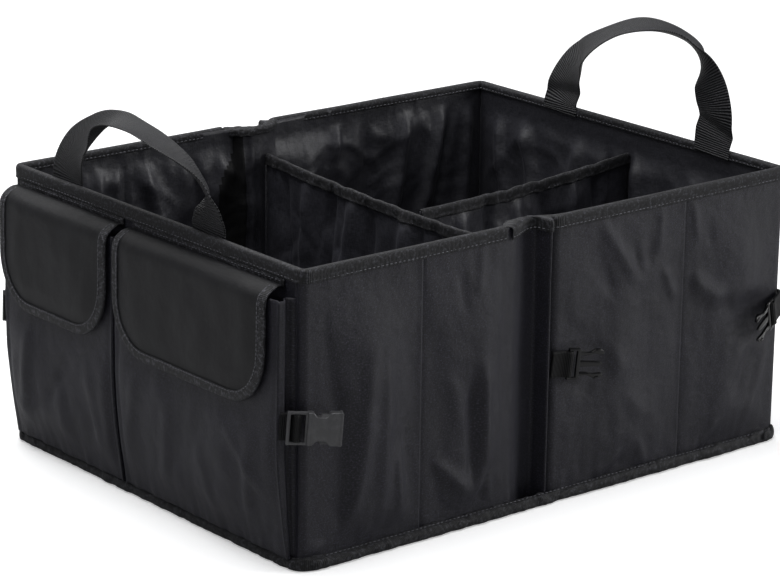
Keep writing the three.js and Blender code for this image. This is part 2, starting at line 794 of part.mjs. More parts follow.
function malePlate() {
  const half = buckleWide / 2;
  const shape = new THREE.Shape();
  const side = (s) => [
    ["line", -barHalf, s * half],
    ["line", 10.5, s * half],
    ["line", 11.5, s * 12.6],
    ["curve", 20, s * 11, 26, s * 13.2],
    ["line", 28.5, s * 15],
    ["curve", 34, s * 14.6, 38, s * 10.4],
    ["curve", 34, s * 8.6, 26, s * 9.6],
    ["curve", 20, s * 8.2, 12, s * 8],
    ["line", 11.5, s * 3],
    ["line", 30, s * 2.4],
    ["curve", 34, s * 2.2, 35, 0],
  ];
  const upper = side(1);
  const lower = side(-1);
  shape.moveTo(upper[0][1], upper[0][2]);
  for (const step of upper.slice(1)) {
    if (step[0] === "line") shape.lineTo(step[1], step[2]);
    else shape.quadraticCurveTo(step[1], step[2], step[3], step[4]);
  }
  const ends = lower.map((step) => (step[0] === "line" ? [step[1], step[2]] : [step[3], step[4]]));
  for (let k = lower.length - 1; k > 0; k--) {
    const step = lower[k];
    if (step[0] === "line") shape.lineTo(...ends[k - 1]);
    else shape.quadraticCurveTo(step[1], step[2], ...ends[k - 1]);
  }
  const slot = shapeOf([
    [barHalf, -slotHalf],
    [barHalf + 6, -slotHalf],
    [barHalf + 6, slotHalf],
    [barHalf, slotHalf],
  ]);
  shape.holes.push(slot);
  return shape;
}

// A plate drawn in X and Z, thickened evenly to both sides of Y.
function plate(shape, thick) {
  const geometry = new THREE.ExtrudeGeometry(shape, { depth: thick, bevelEnabled: false, curveSegments: 4 });
  geometry.translate(0, 0, -thick / 2);
  geometry.rotateX(Math.PI / 2);
  return geometry;
}

const malePlateThick = 3.2;
const femaleThick = 8.6;
const femaleLadderThick = 3.6;
const femaleMouth = 41;
const femaleBack = -9;

function femaleBody() {
  const half = buckleWide / 2;
  const waist = 11.2;
  const shape = shapeOf([
    [femaleBack, -half],
    [13, -half],
    [17, -waist],
    [26, -waist],
    [30, -half],
    [femaleMouth, -half],
    [femaleMouth, half],
    [30, half],
    [26, waist],
    [17, waist],
    [13, half],
    [femaleBack, half],
  ]);
  const ladderEnd = 9;
  const thin = femaleLadderThick / 2;
  const cavityHalf = malePlateThick / 2 + seat;
  return solidOf(plate(shape, femaleThick))
    .subtract(solidOf(block(femaleBack + 2.6, -barHalf, -femaleThick, femaleThick, -slotHalf, slotHalf)))
    .subtract(solidOf(block(barHalf, barHalf + 5.4, -femaleThick, femaleThick, -slotHalf, slotHalf)))
    .subtract(solidOf(block(femaleBack - 1, ladderEnd, thin, femaleThick, -half - 1, half + 1)))
    .subtract(solidOf(block(femaleBack - 1, ladderEnd, -femaleThick, -thin, -half - 1, half + 1)))
    .subtract(solidOf(block(ladderEnd + 2.5, femaleMouth + 1, -cavityHalf, cavityHalf, -12.6, 12.6)));
}

// A strap end looped round the bar, drawn in X and Y. The doubled strap then follows its route to the seam.
function strapLoop(route) {
  const outerR = loopBore + strapThick;
  const open = 2.45;
  const flank = (side) =>
    route.map(([x, y], k) => {
      const before = route[Math.max(k - 1, 0)];
      const after = route[Math.min(k + 1, route.length - 1)];
      const along = new THREE.Vector2(after[0] - before[0], after[1] - before[1]).normalize();
      return [x - along.y * side * strapThick, y + along.x * side * strapThick];
    });
  const shape = new THREE.Shape();
  shape.moveTo(Math.cos(open) * outerR, Math.sin(open) * outerR);
  shape.absarc(0, 0, outerR, open, -open, true);
  for (const point of [...flank(1), ...flank(-1).reverse()]) {
    shape.lineTo(...point);
  }
  const settings = { depth: strapWide, bevelEnabled: false, curveSegments: 8 };
  const geometry = new THREE.ExtrudeGeometry(shape, settings);
  geometry.translate(0, 0, -strapWide / 2);
  const bore = new THREE.CylinderGeometry(loopBore, loopBore, strapWide + 2, 14);
  bore.rotateX(Math.PI / 2);
  return geometryOf(solidOf(geometry).subtract(solidOf(bore)));
}

// Places a buckle: at is the bar's middle, heading the plan angle of its free end, and droop its sag.
function buckle(label, kind, at, heading, droop, route) {
  const group = new THREE.Group();
  group.position.set(...at);
  group.rotation.set(0, THREE.MathUtils.degToRad(droop), THREE.MathUtils.degToRad(heading), "ZYX");
  const geometry = kind === "male" ? plate(malePlate(), malePlateThick) : geometryOf(femaleBody());
  addMesh(group, `${label}_buckle_${kind}`, geometry, materials.plastic);
  addMesh(group, `${label}_buckle_strap`, strapLoop(route), materials.webbing);
  organizer.add(group);
}

const buckleZ = 131;
const loopEnd = -(loopBore + strapThick + 1.9);
const femaleAt = {
  x: -halfLength - 8,
  out: 3,
  low: -8,
  heading: 28,
  droop: 4,
  route: [[loopEnd, 3.6], [-15, 3.6]],
};
const centreAt = {
  past: 24.5,
  out: 4.4,
  low: -4,
  heading: 14,
  droop: 6,
  route: [[loopEnd, 0], [-9.8, 0.2], [-19.6, -2]],
};
const cornerAt = {
  x: halfLength - 20.5,
  out: 11,
  low: -7,
  heading: 160,
  droop: 16,
  route: [[loopEnd, 0], [-21.5, 0], [-23.3, -4.1]],
};

function place(x, setting, side, label, kind) {
  const at = [x, side * (halfWidth + setting.out), buckleZ - setting.low];
  const route = setting.route.map(([along, off]) => [along, -side * off]);
  buckle(label, kind, at, side * setting.heading, setting.droop, route);
}

for (const [label, side, pleat] of [["front", -1, frontPleat], ["rear", 1, rearPleat]]) {
  place(femaleAt.x, femaleAt, side, `${label}_left`, "female");
  place(pleat.to + centreAt.past, centreAt, side, `${label}_centre`, "male");
  place(cornerAt.x, cornerAt, side, `${label}_right`, "male");
}

export default organizer;
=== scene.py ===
import math
import bpy
import bmesh
from mathutils import Matrix, Vector, noise


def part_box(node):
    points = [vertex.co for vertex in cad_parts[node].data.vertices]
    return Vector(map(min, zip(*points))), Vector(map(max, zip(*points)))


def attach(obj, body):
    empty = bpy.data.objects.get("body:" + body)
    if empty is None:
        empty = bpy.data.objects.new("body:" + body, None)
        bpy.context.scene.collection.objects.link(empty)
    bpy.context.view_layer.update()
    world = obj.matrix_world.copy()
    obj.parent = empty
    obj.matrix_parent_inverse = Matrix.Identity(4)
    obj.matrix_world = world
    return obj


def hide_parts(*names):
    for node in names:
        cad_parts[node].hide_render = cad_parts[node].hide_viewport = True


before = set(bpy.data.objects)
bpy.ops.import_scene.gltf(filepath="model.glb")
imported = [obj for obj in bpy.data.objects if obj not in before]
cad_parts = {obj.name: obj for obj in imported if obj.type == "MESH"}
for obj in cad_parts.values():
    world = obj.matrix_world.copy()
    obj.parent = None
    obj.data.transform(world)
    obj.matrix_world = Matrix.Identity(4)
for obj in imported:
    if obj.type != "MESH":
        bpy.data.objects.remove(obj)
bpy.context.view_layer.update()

# Looks of a foldable car trunk organizer in black cloth.
# Pieces are modelled in millimetres, in the frame's own place, and scaled to metres when they are finished.
mm = 0.001
scene = bpy.context.scene


def boxOf(node):
    low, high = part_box(node)
    return low / mm, high / mm


bottomHigh = boxOf("bottom_cloth")[1]
rimTop = boxOf("left_bay_rim_binding")[1].z

body = {
    "halfLength": bottomHigh.x,
    "halfWidth": bottomHigh.y,
    "rim": rimTop,
    "foot": 1.3,            # where the walls start above the underside
    "head": rimTop - 1.2,
    "underTape": 268,       # height of the rim tape's lower edge
    "corner": 6,
    "wall": 4.9,            # outer face to lining face
    "clothStep": 2.8,       # size of a mesh cell on the cloth
}


# Materials

class NodeBoard:
    # small helper that adds nodes to a material or the world and links them
    def __init__(self, holder):
        holder.use_nodes = True
        self.holder = holder
        self.tree = holder.node_tree

    def add(self, kind, inputs=None, **settings):
        node = self.tree.nodes.new(kind)
        for key, value in settings.items():
            setattr(node, key, value)
        for key, value in (inputs or {}).items():
            self.put(node, key, value)
        return node

    def put(self, node, key, value):
        socket = node.inputs[key]
        if isinstance(value, bpy.types.NodeSocket):
            self.tree.links.new(value, socket)
        else:
            socket.default_value = value

    def shade(self, inputs):
        # fills the sockets of the material's shader and gives the material back
        shader = self.tree.nodes["Principled BSDF"]
        for key, value in inputs.items():
            self.put(shader, key, value)
        return self.holder

    def maths(self, operation, first, second=0.0):
        return self.add("ShaderNodeMath", {0: first, 1: second}, operation=operation).outputs[0]

    def waves(self, place, pitch):
        # a sine that repeats every pitch millimetres
        return self.maths("SINE", self.maths("MULTIPLY", place, 2 * math.pi / (pitch * mm)))

    def stretched(self, vector, scale):
        return self.add("ShaderNodeMapping", {"Vector": vector, "Scale": scale}).outputs[0]

    def noise(self, vector, scale, detail=2.0, roughness=0.5):
        settings = {"Vector": vector, "Scale": scale, "Detail": detail, "Roughness": roughness}
        return self.add("ShaderNodeTexNoise", settings).outputs["Fac"]

    def ramp(self, value, low, high, toLow=0.0, toHigh=1.0):
        settings = {"Value": value, "From Min": low, "From Max": high, "To Min": toLow, "To Max": toHigh}
        return self.add("ShaderNodeMapRange", settings).outputs["Result"]

    def mixColour(self, share, first, second):
        node = self.add("ShaderNodeMix", data_type="RGBA")
        for key, value in (("Factor", share), (6, first), (7, second)):   # 6 and 7 are its two colours
            self.put(node, key, value)
        return node.outputs[2]

    def bump(self, height, strength, distance, normal=None):
        node = self.add("ShaderNodeBump", {"Height": height, "Strength": strength, "Distance": distance})
        if normal is not None:
            self.put(node, "Normal", normal)
        return node.outputs["Normal"]

    def uv(self):
        return self.add("ShaderNodeUVMap", uv_map="cloth").outputs["UV"]

    def place(self):
        return self.add("ShaderNodeTexCoord").outputs["Object"]


def newMaterial(name):
    return NodeBoard(bpy.data.materials.new(name))


def srgb(red, green, blue):
    def linear(value):
        value /= 255
        return value / 12.92 if value <= 0.04045 else ((value + 0.055) / 1.055) ** 2.4
    return (linear(red), linear(green), linear(blue), 1)


def wovenCloth(name, look):
    # plain weave: two sets of yarns whose product makes the over and under bumps
    board = newMaterial(name)
    uv = board.uv()
    split = board.add("ShaderNodeSeparateXYZ", {0: uv}).outputs
    warp, weft = (board.waves(split[way], look["yarn"]) for way in ("X", "Y"))
    weave = board.maths("MULTIPLY", warp, weft)
    slub = board.noise(board.stretched(uv, (160, 900, 1)), 1.0)
    slubUp = board.noise(board.stretched(uv, (900, 160, 1)), 1.0)
    mottle = board.noise(uv, 620, 3, 0.7)
    cloud = board.noise(uv, 14, 3, 0.55)
    crumpled = board.noise(uv, look["crumpleScale"], 4, 0.55)
    fleck = board.ramp(board.maths("ADD", slub, slubUp), 0.8, 1.25)
    tone = board.mixColour(fleck, look["dark"], look["light"])
    tone = board.mixColour(board.ramp(mottle, 0.52, 0.72, 0, look["mottle"]), tone, look["dust"])
    tone = board.mixColour(board.ramp(cloud, 0.35, 0.7, 0, 0.35), tone, look["dark"])
    normal = board.bump(crumpled, look["crumple"], 4 * mm)
    normal = board.bump(mottle, 0.3, 0.3 * mm, normal)
    normal = board.bump(weave, look["weave"], 0.16 * mm, normal)
    return board.shade({
        "Base Color": tone, "Normal": normal, "Specular IOR Level": look["specular"],
        "Roughness": board.ramp(mottle, 0.3, 0.7, look["rough"] - 0.05, look["rough"] + 0.06),
        "Sheen Weight": look["sheen"], "Sheen Roughness": 0.45, "Sheen Tint": look["sheenTint"],
    })


def ribbedTape(name, look):
    # ribs run across the tape, so they follow the map's first direction
    board = newMaterial(name)
    uv = board.uv()
    split = board.add("ShaderNodeSeparateXYZ", {0: uv}).outputs
    wander = board.maths("MULTIPLY", board.noise(uv, 90), look["wander"] * mm)
    ribs = board.waves(board.maths("ADD", split["X"], wander), look["rib"])
    yarns = board.waves(split["Y"], look["yarn"])
    grain = board.noise(uv, look["grain"], 3, 0.65)
    cloud = board.noise(uv, 40, 3)
    tone = board.mixColour(board.ramp(ribs, -0.2, 1.0, 0, look["ribTone"]), look["dark"], look["light"])
    tone = board.mixColour(board.ramp(grain, 0.5, 0.8, 0, look["mottle"]), tone, look["dust"])
    tone = board.mixColour(board.ramp(cloud, 0.4, 0.7, 0, 0.3), tone, look["dark"])
    normal = board.bump(ribs, look["ribBump"], look["rib"] * 0.25 * mm)
    normal = board.bump(yarns, look["yarnBump"], 0.12 * mm, normal)
    normal = board.bump(grain, 0.25, 0.2 * mm, normal)
    return board.shade({
        "Base Color": tone, "Normal": normal, "Specular IOR Level": look["specular"],
        "Roughness": board.ramp(grain, 0.3, 0.7, look["rough"] - 0.06, look["rough"] + 0.06),
        "Sheen Weight": look["sheen"], "Sheen Roughness": 0.4,
    })


def mouldedPlastic(name, look):
    board = newMaterial(name)
    place = board.place()
    grain = board.noise(place, 2600)
    scuffs = board.noise(place, 160, 4, 0.7)
    return board.shade({
        "Base Color": board.mixColour(board.ramp(scuffs, 0.45, 0.75), look["dark"], look["light"]),
        "Roughness": board.ramp(scuffs, 0.3, 0.8, look["rough"], look["rough"] + 0.16),
        "Specular IOR Level": look["specular"], "Normal": board.bump(grain, look["grain"], 0.05 * mm),
    })


def coveredBoard(name, look):
    board = newMaterial(name)
    place = board.place()
    fibres = board.noise(board.stretched(place, (1, 1, 0.3)), 420, 4, 0.7)
    cloud = board.noise(place, 18, 3)
    tone = board.mixColour(fibres, look["dark"], look["light"])
    return board.shade({
        "Base Color": board.mixColour(board.ramp(cloud, 0.4, 0.7, 0, 0.4), tone, look["dark"]),
        "Roughness": board.ramp(fibres, 0.3, 0.7, look["rough"] - 0.08, look["rough"] + 0.08),
        "Normal": board.bump(fibres, look["bump"], 0.4 * mm),
    })


outerLook = {
    "yarn": 1.1, "crumpleScale": 46, "crumple": 0.4, "weave": 0.6, "mottle": 0.7,
    "dark": srgb(9, 9, 13), "light": srgb(26, 25, 34), "dust": srgb(80, 77, 95),
    "rough": 0.48, "specular": 0.33, "sheen": 0.05, "sheenTint": (0.75, 0.77, 0.9, 1),
}
flapLook = dict(outerLook, dark=srgb(8, 8, 9), light=srgb(17, 17, 19), dust=srgb(40, 40, 45),
                crumple=0.3, specular=0.26, sheen=0.03)
liningLook = {
    "yarn": 0.7, "crumpleScale": 30, "crumple": 0.5, "weave": 0.12, "mottle": 0.15,
    "dark": srgb(27, 27, 31), "light": srgb(46, 46, 52), "dust": srgb(60, 60, 68),
    "rough": 0.46, "specular": 0.45, "sheen": 0.03, "sheenTint": (0.8, 0.8, 0.9, 1),
}
tapeLook = {
    "rib": 1.5, "yarn": 0.8, "wander": 1.6, "ribTone": 0.4, "grain": 320, "mottle": 0.85, "ribBump": 0.5,
    "yarnBump": 0.3, "dark": srgb(9, 9, 11), "light": srgb(28, 28, 32), "dust": srgb(92, 92, 100),
    "rough": 0.6, "specular": 0.32, "sheen": 0.03,
}
webbingLook = dict(tapeLook, rib=2.3, yarn=1.5, wander=0.5, ribTone=0.75, grain=420, ribBump=0.8,
                   yarnBump=0.6, mottle=0.7, dark=srgb(8, 8, 9), light=srgb(44, 44, 48),
                   dust=srgb(84, 84, 90), rough=0.5)
flapTapeLook = dict(tapeLook, ribTone=0.6, light=srgb(42, 42, 46), dust=srgb(124, 124, 132))
# black webbing, made darker than the handles' webbing as painted shade, so the straps read as lying in their
# buckles' shadow
strapShadeLook = dict(webbingLook, rib=1.7, yarn=1.2, ribTone=0.3, ribBump=0.5, dark=srgb(5, 5, 6),
                 light=srgb(13, 13, 14), dust=srgb(22, 22, 24), specular=0.2)
dividerLook = dict(liningLook, dark=srgb(35, 35, 40), light=srgb(60, 60, 67), dust=srgb(76, 76, 84))
# near-black copy of the lining: painted shade for the band of lining that the pleat's step shadows
pleatShadeLook = dict(liningLook, dark=srgb(6, 6, 7), light=srgb(14, 14, 16), dust=srgb(20, 20, 22),
                 specular=0.2, rough=0.6)
outerCloth = wovenCloth("blackOxford", outerLook)
flapCloth = wovenCloth("darkOxford", flapLook)
liningCloth = wovenCloth("satinLining", liningLook)
pleatShadeCloth = wovenCloth("pleatPaintedShade", pleatShadeLook)
dividerCloth = wovenCloth("dividerCloth", dividerLook)
bindingTape = ribbedTape("bindingTape", tapeLook)
flapTape = ribbedTape("flapTape", flapTapeLook)
webbing = ribbedTape("webbing", webbingLook)
strapShadeWebbing = ribbedTape("strapShadeWebbing", strapShadeLook)
greyPlastic = mouldedPlastic("greyPlastic", {
    "dark": srgb(62, 62, 64), "light": srgb(78, 78, 80), "rough": 0.32, "specular": 0.5, "grain": 0.1,
})
blackPlastic = mouldedPlastic("blackPlastic", {
    "dark": srgb(3, 3, 4), "light": srgb(8, 8, 9), "rough": 0.08, "specular": 0.4, "grain": 0.03,
})
floorBoardFace = coveredBoard("floorBoard", {
    "dark": srgb(24, 24, 26), "light": srgb(44, 44, 47), "rough": 0.75, "bump": 0.4,
})
cardboard = coveredBoard("greyBoard", {
    "dark": srgb(74, 68, 60), "light": srgb(104, 96, 84), "rough": 0.85, "bump": 0.25,
})
gripTape = coveredBoard("gripTape", {
    "dark": srgb(12, 12, 13), "light": srgb(30, 30, 32), "rough": 0.9, "bump": 1.0,
})
thread = coveredBoard("sewingThread", {
    "dark": srgb(70, 70, 76), "light": srgb(124, 124, 132), "rough": 0.5, "bump": 0.3,
})
print("materials made")


# Shaping helpers

def ease(value, start, end):
    # 0 at start, 1 at end, smooth between
    share = min(max((value - start) / (end - start), 0), 1)
    return share * share * (3 - 2 * share)


def ripple(along, up, sizeAlong, sizeUp, seed):
    return noise.noise(Vector((along / sizeAlong, up / sizeUp, seed)))


def namedRipples(ripples, seed):
    # ripples holds the height, size along, size up and seed shift of each
    def wave(kind, along, up):
        height, sizeAlong, sizeUp, shift = ripples[kind]
        return height * ripple(along, up, sizeAlong, sizeUp, seed + shift)
    return wave


def crumple(along, up, size, seed):
    # soft hollows between sharper ridges, as in thin cloth that has been folded away
    turnA = along * 0.83 + up * 0.55
    turnB = up * 0.83 - along * 0.55
    warp = 0.6 * noise.noise(Vector((along / size, up / size, seed + 5)))
    first = 1 - abs(noise.noise(Vector((turnA / size + warp, turnB / (size * 2.4), seed)))) * 2
    second = 1 - abs(noise.noise(Vector((turnB / (size * 0.6) - warp, turnA / (size * 1.7), seed + 9)))) * 2
    return 0.62 * first * abs(first) + 0.38 * second * abs(second)


def creaseAt(along, up, fold):
    # fold: two ends, half width and height; negative heights are valleys
    x0, z0, x1, z1, wide, tall = fold
    dx, dz = x1 - x0, z1 - z0
    length = math.hypot(dx, dz)
    share = ((along - x0) * dx + (up - z0) * dz) / (length * length)
    off = ((along - x0) * dz - (up - z0) * dx) / length
    if not -0.4 < share < 1.4 or abs(off) > 3 * wide:
        return 0
    fade = ease(share, -0.25, 0.25) * (1 - ease(share, 0.75, 1.25))
    return tall * fade * math.exp(-(off / wide) ** 2)


def foldsAt(along, up, folds):
    return sum(creaseAt(along, up, fold) for fold in folds)


def softFloor(value, soft=0.5):
    # keeps a bulge above zero without a hard edge
    return (value + math.sqrt(value * value + soft * soft)) / 2


def smoothLine(points, rounds=2):
    # cuts the corners of a run of points and keeps its ends
    points = [Vector(point) for point in points]
    for _ in range(rounds):
        cut = [points[0]]
        for first, second in zip(points, points[1:]):
            cut += [first.lerp(second, 0.25), first.lerp(second, 0.75)]
        points = cut + [points[-1]]
    return points


def evenLine(points, step=None, count=None):
    # the same line with evenly spaced points, and how far along each lies
    points = [Vector(point) for point in points]
    reach = [0]
    for first, second in zip(points, points[1:]):
        reach.append(reach[-1] + (second - first).length)
    count = count or max(2, round(reach[-1] / step))
    even = []
    place = 0
    for k in range(count + 1):
        goal = reach[-1] * k / count
        while place < len(reach) - 2 and reach[place + 1] < goal:
            place += 1
        span = reach[place + 1] - reach[place]
        share = (goal - reach[place]) / span if span else 0
        even.append((points[place].lerp(points[place + 1], share), goal))
    return even


def spacedLine(points, stepAt):
    # the same line with a spacing that changes from place to place
    fine = evenLine(points, step=0.4)
    kept = [fine[0]]
    for point, reach in fine[1:-1]:
        if reach - kept[-1][1] >= stepAt(point):
            kept.append((point, reach))
    if fine[-1][1] - kept[-1][1] < 0.4:
        kept.pop()
    return kept + [fine[-1]]


def curveThrough(stops, steps):
    # a smooth run through every stop; a stop's first three numbers are its place
    stops = [Vector(stop) for stop in stops]
    padded = [stops[0] * 2 - stops[1]] + stops + [stops[-1] * 2 - stops[-2]]
    run = []
    for k in range(len(stops) - 1):
        a, b, c, d = padded[k:k + 4]
        first, span, last = (math.sqrt((q - p).xyz.length) for p, q in ((a, b), (b, c), (c, d)))
        leave = ((b - a) / first - (c - a) / (first + span) + (c - b) / span) * span
        arrive = ((c - b) / span - (d - b) / (span + last) + (d - c) / last) * span
        for j in range(steps):
            t = j / steps
            cube = b * 2 - c * 2 + leave + arrive
            square = c * 3 - b * 3 - leave * 2 - arrive
            run.append(b + leave * t + square * t * t + cube * t ** 3)
    return run + [stops[-1]]


def sideways(points):
    # unit normal to the right of a plan line at each of its points
    normals = []
    for k in range(len(points)):
        along = points[min(k + 1, len(points) - 1)] - points[max(k - 1, 0)]
        normals.append(Vector((along.y, -along.x)).normalized())
    return normals


def clothGrid(columns, rows, lay, flip=False):
    # lay(column, row) gives a vertex's place and its place on the flat cloth, in millimetres
    grid = bmesh.new()
    bmesh.ops.create_grid(grid, x_segments=columns, y_segments=rows, size=1)
    uvLayer = grid.loops.layers.uv.new("cloth")
    flat = {}
    for vert in grid.verts:
        column = round((vert.co.x + 1) / 2 * columns)
        row = round((vert.co.y + 1) / 2 * rows)
        place, along, up = lay(column, row)
        flat[vert.index] = (along * mm, up * mm)
        vert.co = place
    grid.verts.index_update()
    for face in grid.faces:
        for loop in face.loops:
            loop[uvLayer].uv = flat[loop.vert.index]
    if flip:
        bmesh.ops.reverse_faces(grid, faces=grid.faces)
    return grid


def finishPiece(made, name, looks, bodyName="organizer", stands=(), thick=0, side=-1, levels=0):
    # thick gives a sheet its thickness, to the side that side says; levels rounds it
    bmesh.ops.scale(made, vec=(mm, mm, mm), verts=made.verts)
    mesh = bpy.data.meshes.new(name)
    made.to_mesh(mesh)
    made.free()
    mesh.shade_smooth()
    piece = bpy.data.objects.new(name, mesh)
    scene.collection.objects.link(piece)
    for look in looks if isinstance(looks, (list, tuple)) else [looks]:
        mesh.materials.append(look)
    if thick:
        wall = piece.modifiers.new("thickness", "SOLIDIFY")
        wall.thickness = thick * mm
        wall.offset = side
    if levels:
        round_ = piece.modifiers.new("rounding", "SUBSURF")
        round_.levels = levels
        round_.render_levels = levels
    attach(piece, bodyName)
    if stands:
        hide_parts(*stands)
    return piece


def clothPiece(made, look, cloth, thick, bodyName="organizer", side=-1):
    # a finished sheet that stands for its node
    piece = finishPiece(made, look["name"], cloth, bodyName, [look["node"]], thick, side)


def tapePiece(made, name, node, tape=bindingTape, bodyName="organizer", thick=0.7, side=-1):
    finishPiece(made, name, tape, bodyName, [node], thick, side, levels=1)


def addStitches(made, line, normals, look):
    # short rounded threads along a line of points, each lying on the cloth
    pitch, length, radius = look["pitch"], look["length"], look["radius"]
    even = evenLine(line, step=pitch)
    for k in range(len(even) - 1):
        start, end = even[k][0], even[k + 1][0]
        along = end - start
        if along.length < 1e-6:
            continue
        along.normalize()
        share = (k + 0.5) / (len(even) - 1)
        up = Vector(normals[min(round(share * (len(normals) - 1)), len(normals) - 1)])
        across = along.cross(up).normalized()
        up = across.cross(along)
        middle = (start + end) / 2 + up * radius * 0.8
        turn = Matrix((along, across, up)).transposed().to_4x4()
        turn.translation = middle
        size = Matrix.Diagonal((length / 2, radius, radius * 0.8, 1))
        bmesh.ops.create_icosphere(made, subdivisions=1, radius=1, matrix=turn @ size)


def stitchPiece(name, lines, bodyName="organizer", pitch=5.0, length=3.3, radius=0.5):
    made = bmesh.new()
    look = {"pitch": pitch, "length": length, "radius": radius}
    for line, normals in lines:
        addStitches(made, line, normals, look)
    return finishPiece(made, name, thread, bodyName)


# Long walls: outer cloth over boards, with two creases and the pleat between the bays

pleatPath = [(0, 0), (0.2, 3.6), (0.42, 10.5), (0.62, 14.4)]   # share of the pleat's width, depth
pleatRidge = [(-8, 15), (-4.8, 14), (-2.8, 5), (-1.5, -1.4), (-0.7, -2.9), (0.4, -2.9), (1.2, -1.6), (1.9, 2),
              (2.8, 4.8)]
pleatAfter = [(5.2, 5.2), (9.5, 0.8), (14, 0)]
pleatFine = {"before": 6, "after": 8, "step": 0.7}   # the ridge needs smaller cells than the wall
wallCrease = [(-9, 0), (-3, -0.6), (-0.8, -0.9), (0.6, 1.9), (4, 0.7), (10, 0)]   # off the crease, depth
wallRipples = {
    "lean": (0.35, 120, 90, 11), "broad": (1.6, 60, 120, 0), "middling": (1.5, 32, 70, 2),
    "small": (0.7, 14, 26, 4), "footPucker": (2.2, 8, 40, 6), "headGather": (0.8, 11, 60, 8),
    "inPleat": (0.5, 9, 60, 3),
}

frontWall = {
    "name": "frontOuterWall", "node": "front_outer_cloth", "side": -1, "seed": 3.1,
    "creases": (-163, 165), "pleat": (-58, -10),
    # broad swells of each panel: where it starts, its crest, where it ends, and how far it stands out
    "swells": [(-298, -222, -165, 8.5), (-162, -92, -60, 6.5), (6, 84, 163, 5.5), (167, 236, 298, 6)],
    "hollows": [(32, 133, 34, 24), (262, 133, 34, 26)],   # the cloth lies flat under its buckles
    "folds": [
        # the dark dip beside the near corner and the bright runs past it
        (-290, 262, -279, 190, 9, -5.0), (-284, 200, -262, 100, 14, -6.5), (-268, 110, -262, 14, 16, -6.5),
        (-226, 186, -242, 60, 9, 4.2), (-240, 70, -262, 8, 7, 3.6), (-296, 14, -262, 30, 6, 3.0),
        (-207, 176, -210, 52, 8, 3.6), (-181, 110, -173, 40, 4.5, -4.6), (-192, 90, -188, 30, 5, 3.0),
        # the bay between the crease and the pleat
        (-103, 140, -102, 40, 6.5, -5.6), (-91, 150, -86, 60, 7, 3.6), (-71, 230, -66, 70, 9, 3.2),
        (-67, 110, -60, 24, 9, 4.2), (-146, 70, -108, 34, 7, 4.0), (-152, 34, -116, 4, 5, -4.2),
        (-130, 150, -116, 96, 8, 2.4), (-140, 16, -150, 60, 4, -2.6), (-84, 52, -96, 8, 5, -3.2),
        (-74, 40, -64, 6, 4, -2.6), (-120, 262, -114, 214, 5, -1.6), (-92, 262, -98, 226, 4, 1.6),
        # the right bay
        (58, 262, 96, 206, 7, 3.6), (44, 240, 70, 196, 7, -3.2), (92, 250, 104, 210, 5, -2.6),
        (118, 262, 118, 214, 4, -2.4), (134, 262, 130, 226, 4, 2.2), (82, 262, 86, 236, 4, -2.0),
        (168, 214, 176, 180, 6, -3.4), (150, 214, 160, 196, 5, -3.2), (172, 190, 214, 162, 9, 4.4),
        (176, 262, 182, 226, 4, 2.4), (192, 258, 200, 222, 4, -2.4), (138, 206, 152, 174, 5, 3.0),
        (20, 170, 44, 100, 10, -3.0), (54, 150, 84, 112, 10, 2.6), (238, 60, 262, 110, 8, -2.6),
        (254, 20, 280, 96, 7, 2.2), (60, 14, 86, 34, 5, 2.4), (120, 12, 108, 40, 5, 2.2),
        (196, 12, 214, 36, 5, 2.2), (220, 160, 246, 120, 9, -2.6), (90, 90, 120, 60, 9, 2.0),
    ],
}
rearWall = {
    "name": "rearOuterWall", "node": "rear_outer_cloth", "side": 1, "seed": 17.4,
    "creases": (-163, 165), "pleat": (-46, 2),
    "swells": [(-298, -232, -165, 6.5), (-161, -104, -48, 5.5), (18, 84, 163, 6), (167, 232, 298, 6.5)],
    "hollows": [(44, 133, 34, 24), (262, 133, 34, 26)],
    "folds": [
        (-284, 20, -276, 240, 11, -1.5), (-220, 30, -206, 150, 9, 1.8), (-190, 40, -184, 130, 6, -1.8),
        (-130, 20, -108, 120, 8, 2.0), (-96, 60, -88, 190, 8, -1.4), (80, 200, 110, 150, 8, 1.7),
        (136, 30, 120, 110, 7, -1.7), (200, 60, 232, 150, 9, 1.9), (254, 30, 272, 120, 8, -1.4),
        (-60, 12, -50, 44, 5, 1.5), (90, 12, 76, 40, 5, 1.4), (220, 12, 236, 38, 5, 1.3),
    ],
}


def cornerArc(side, radius):
    # plan points round a corner of the body, from the end wall to the long wall, as (x, depth)
    half = body["halfLength"]
    points = [(side * half, radius + 2)]
    for k in range(6):
        angle = math.pi / 2 * (1 - k / 5)
        points.append((side * (half - radius + radius * math.sin(angle)), radius - radius * math.cos(angle)))
    return points


def wallLine(wall):
    start, end = wall["pleat"]
    wide = end - start
    line = cornerArc(-1, body["corner"])
    for crease in wall["creases"]:
        if crease > start:
            line += [(start + share * wide, depth) for share, depth in pleatPath]
            line += [(end + off, depth) for off, depth in pleatRidge + pleatAfter]
        line += [(crease + off, depth) for off, depth in wallCrease]
    return line + cornerArc(1, body["corner"])[::-1]


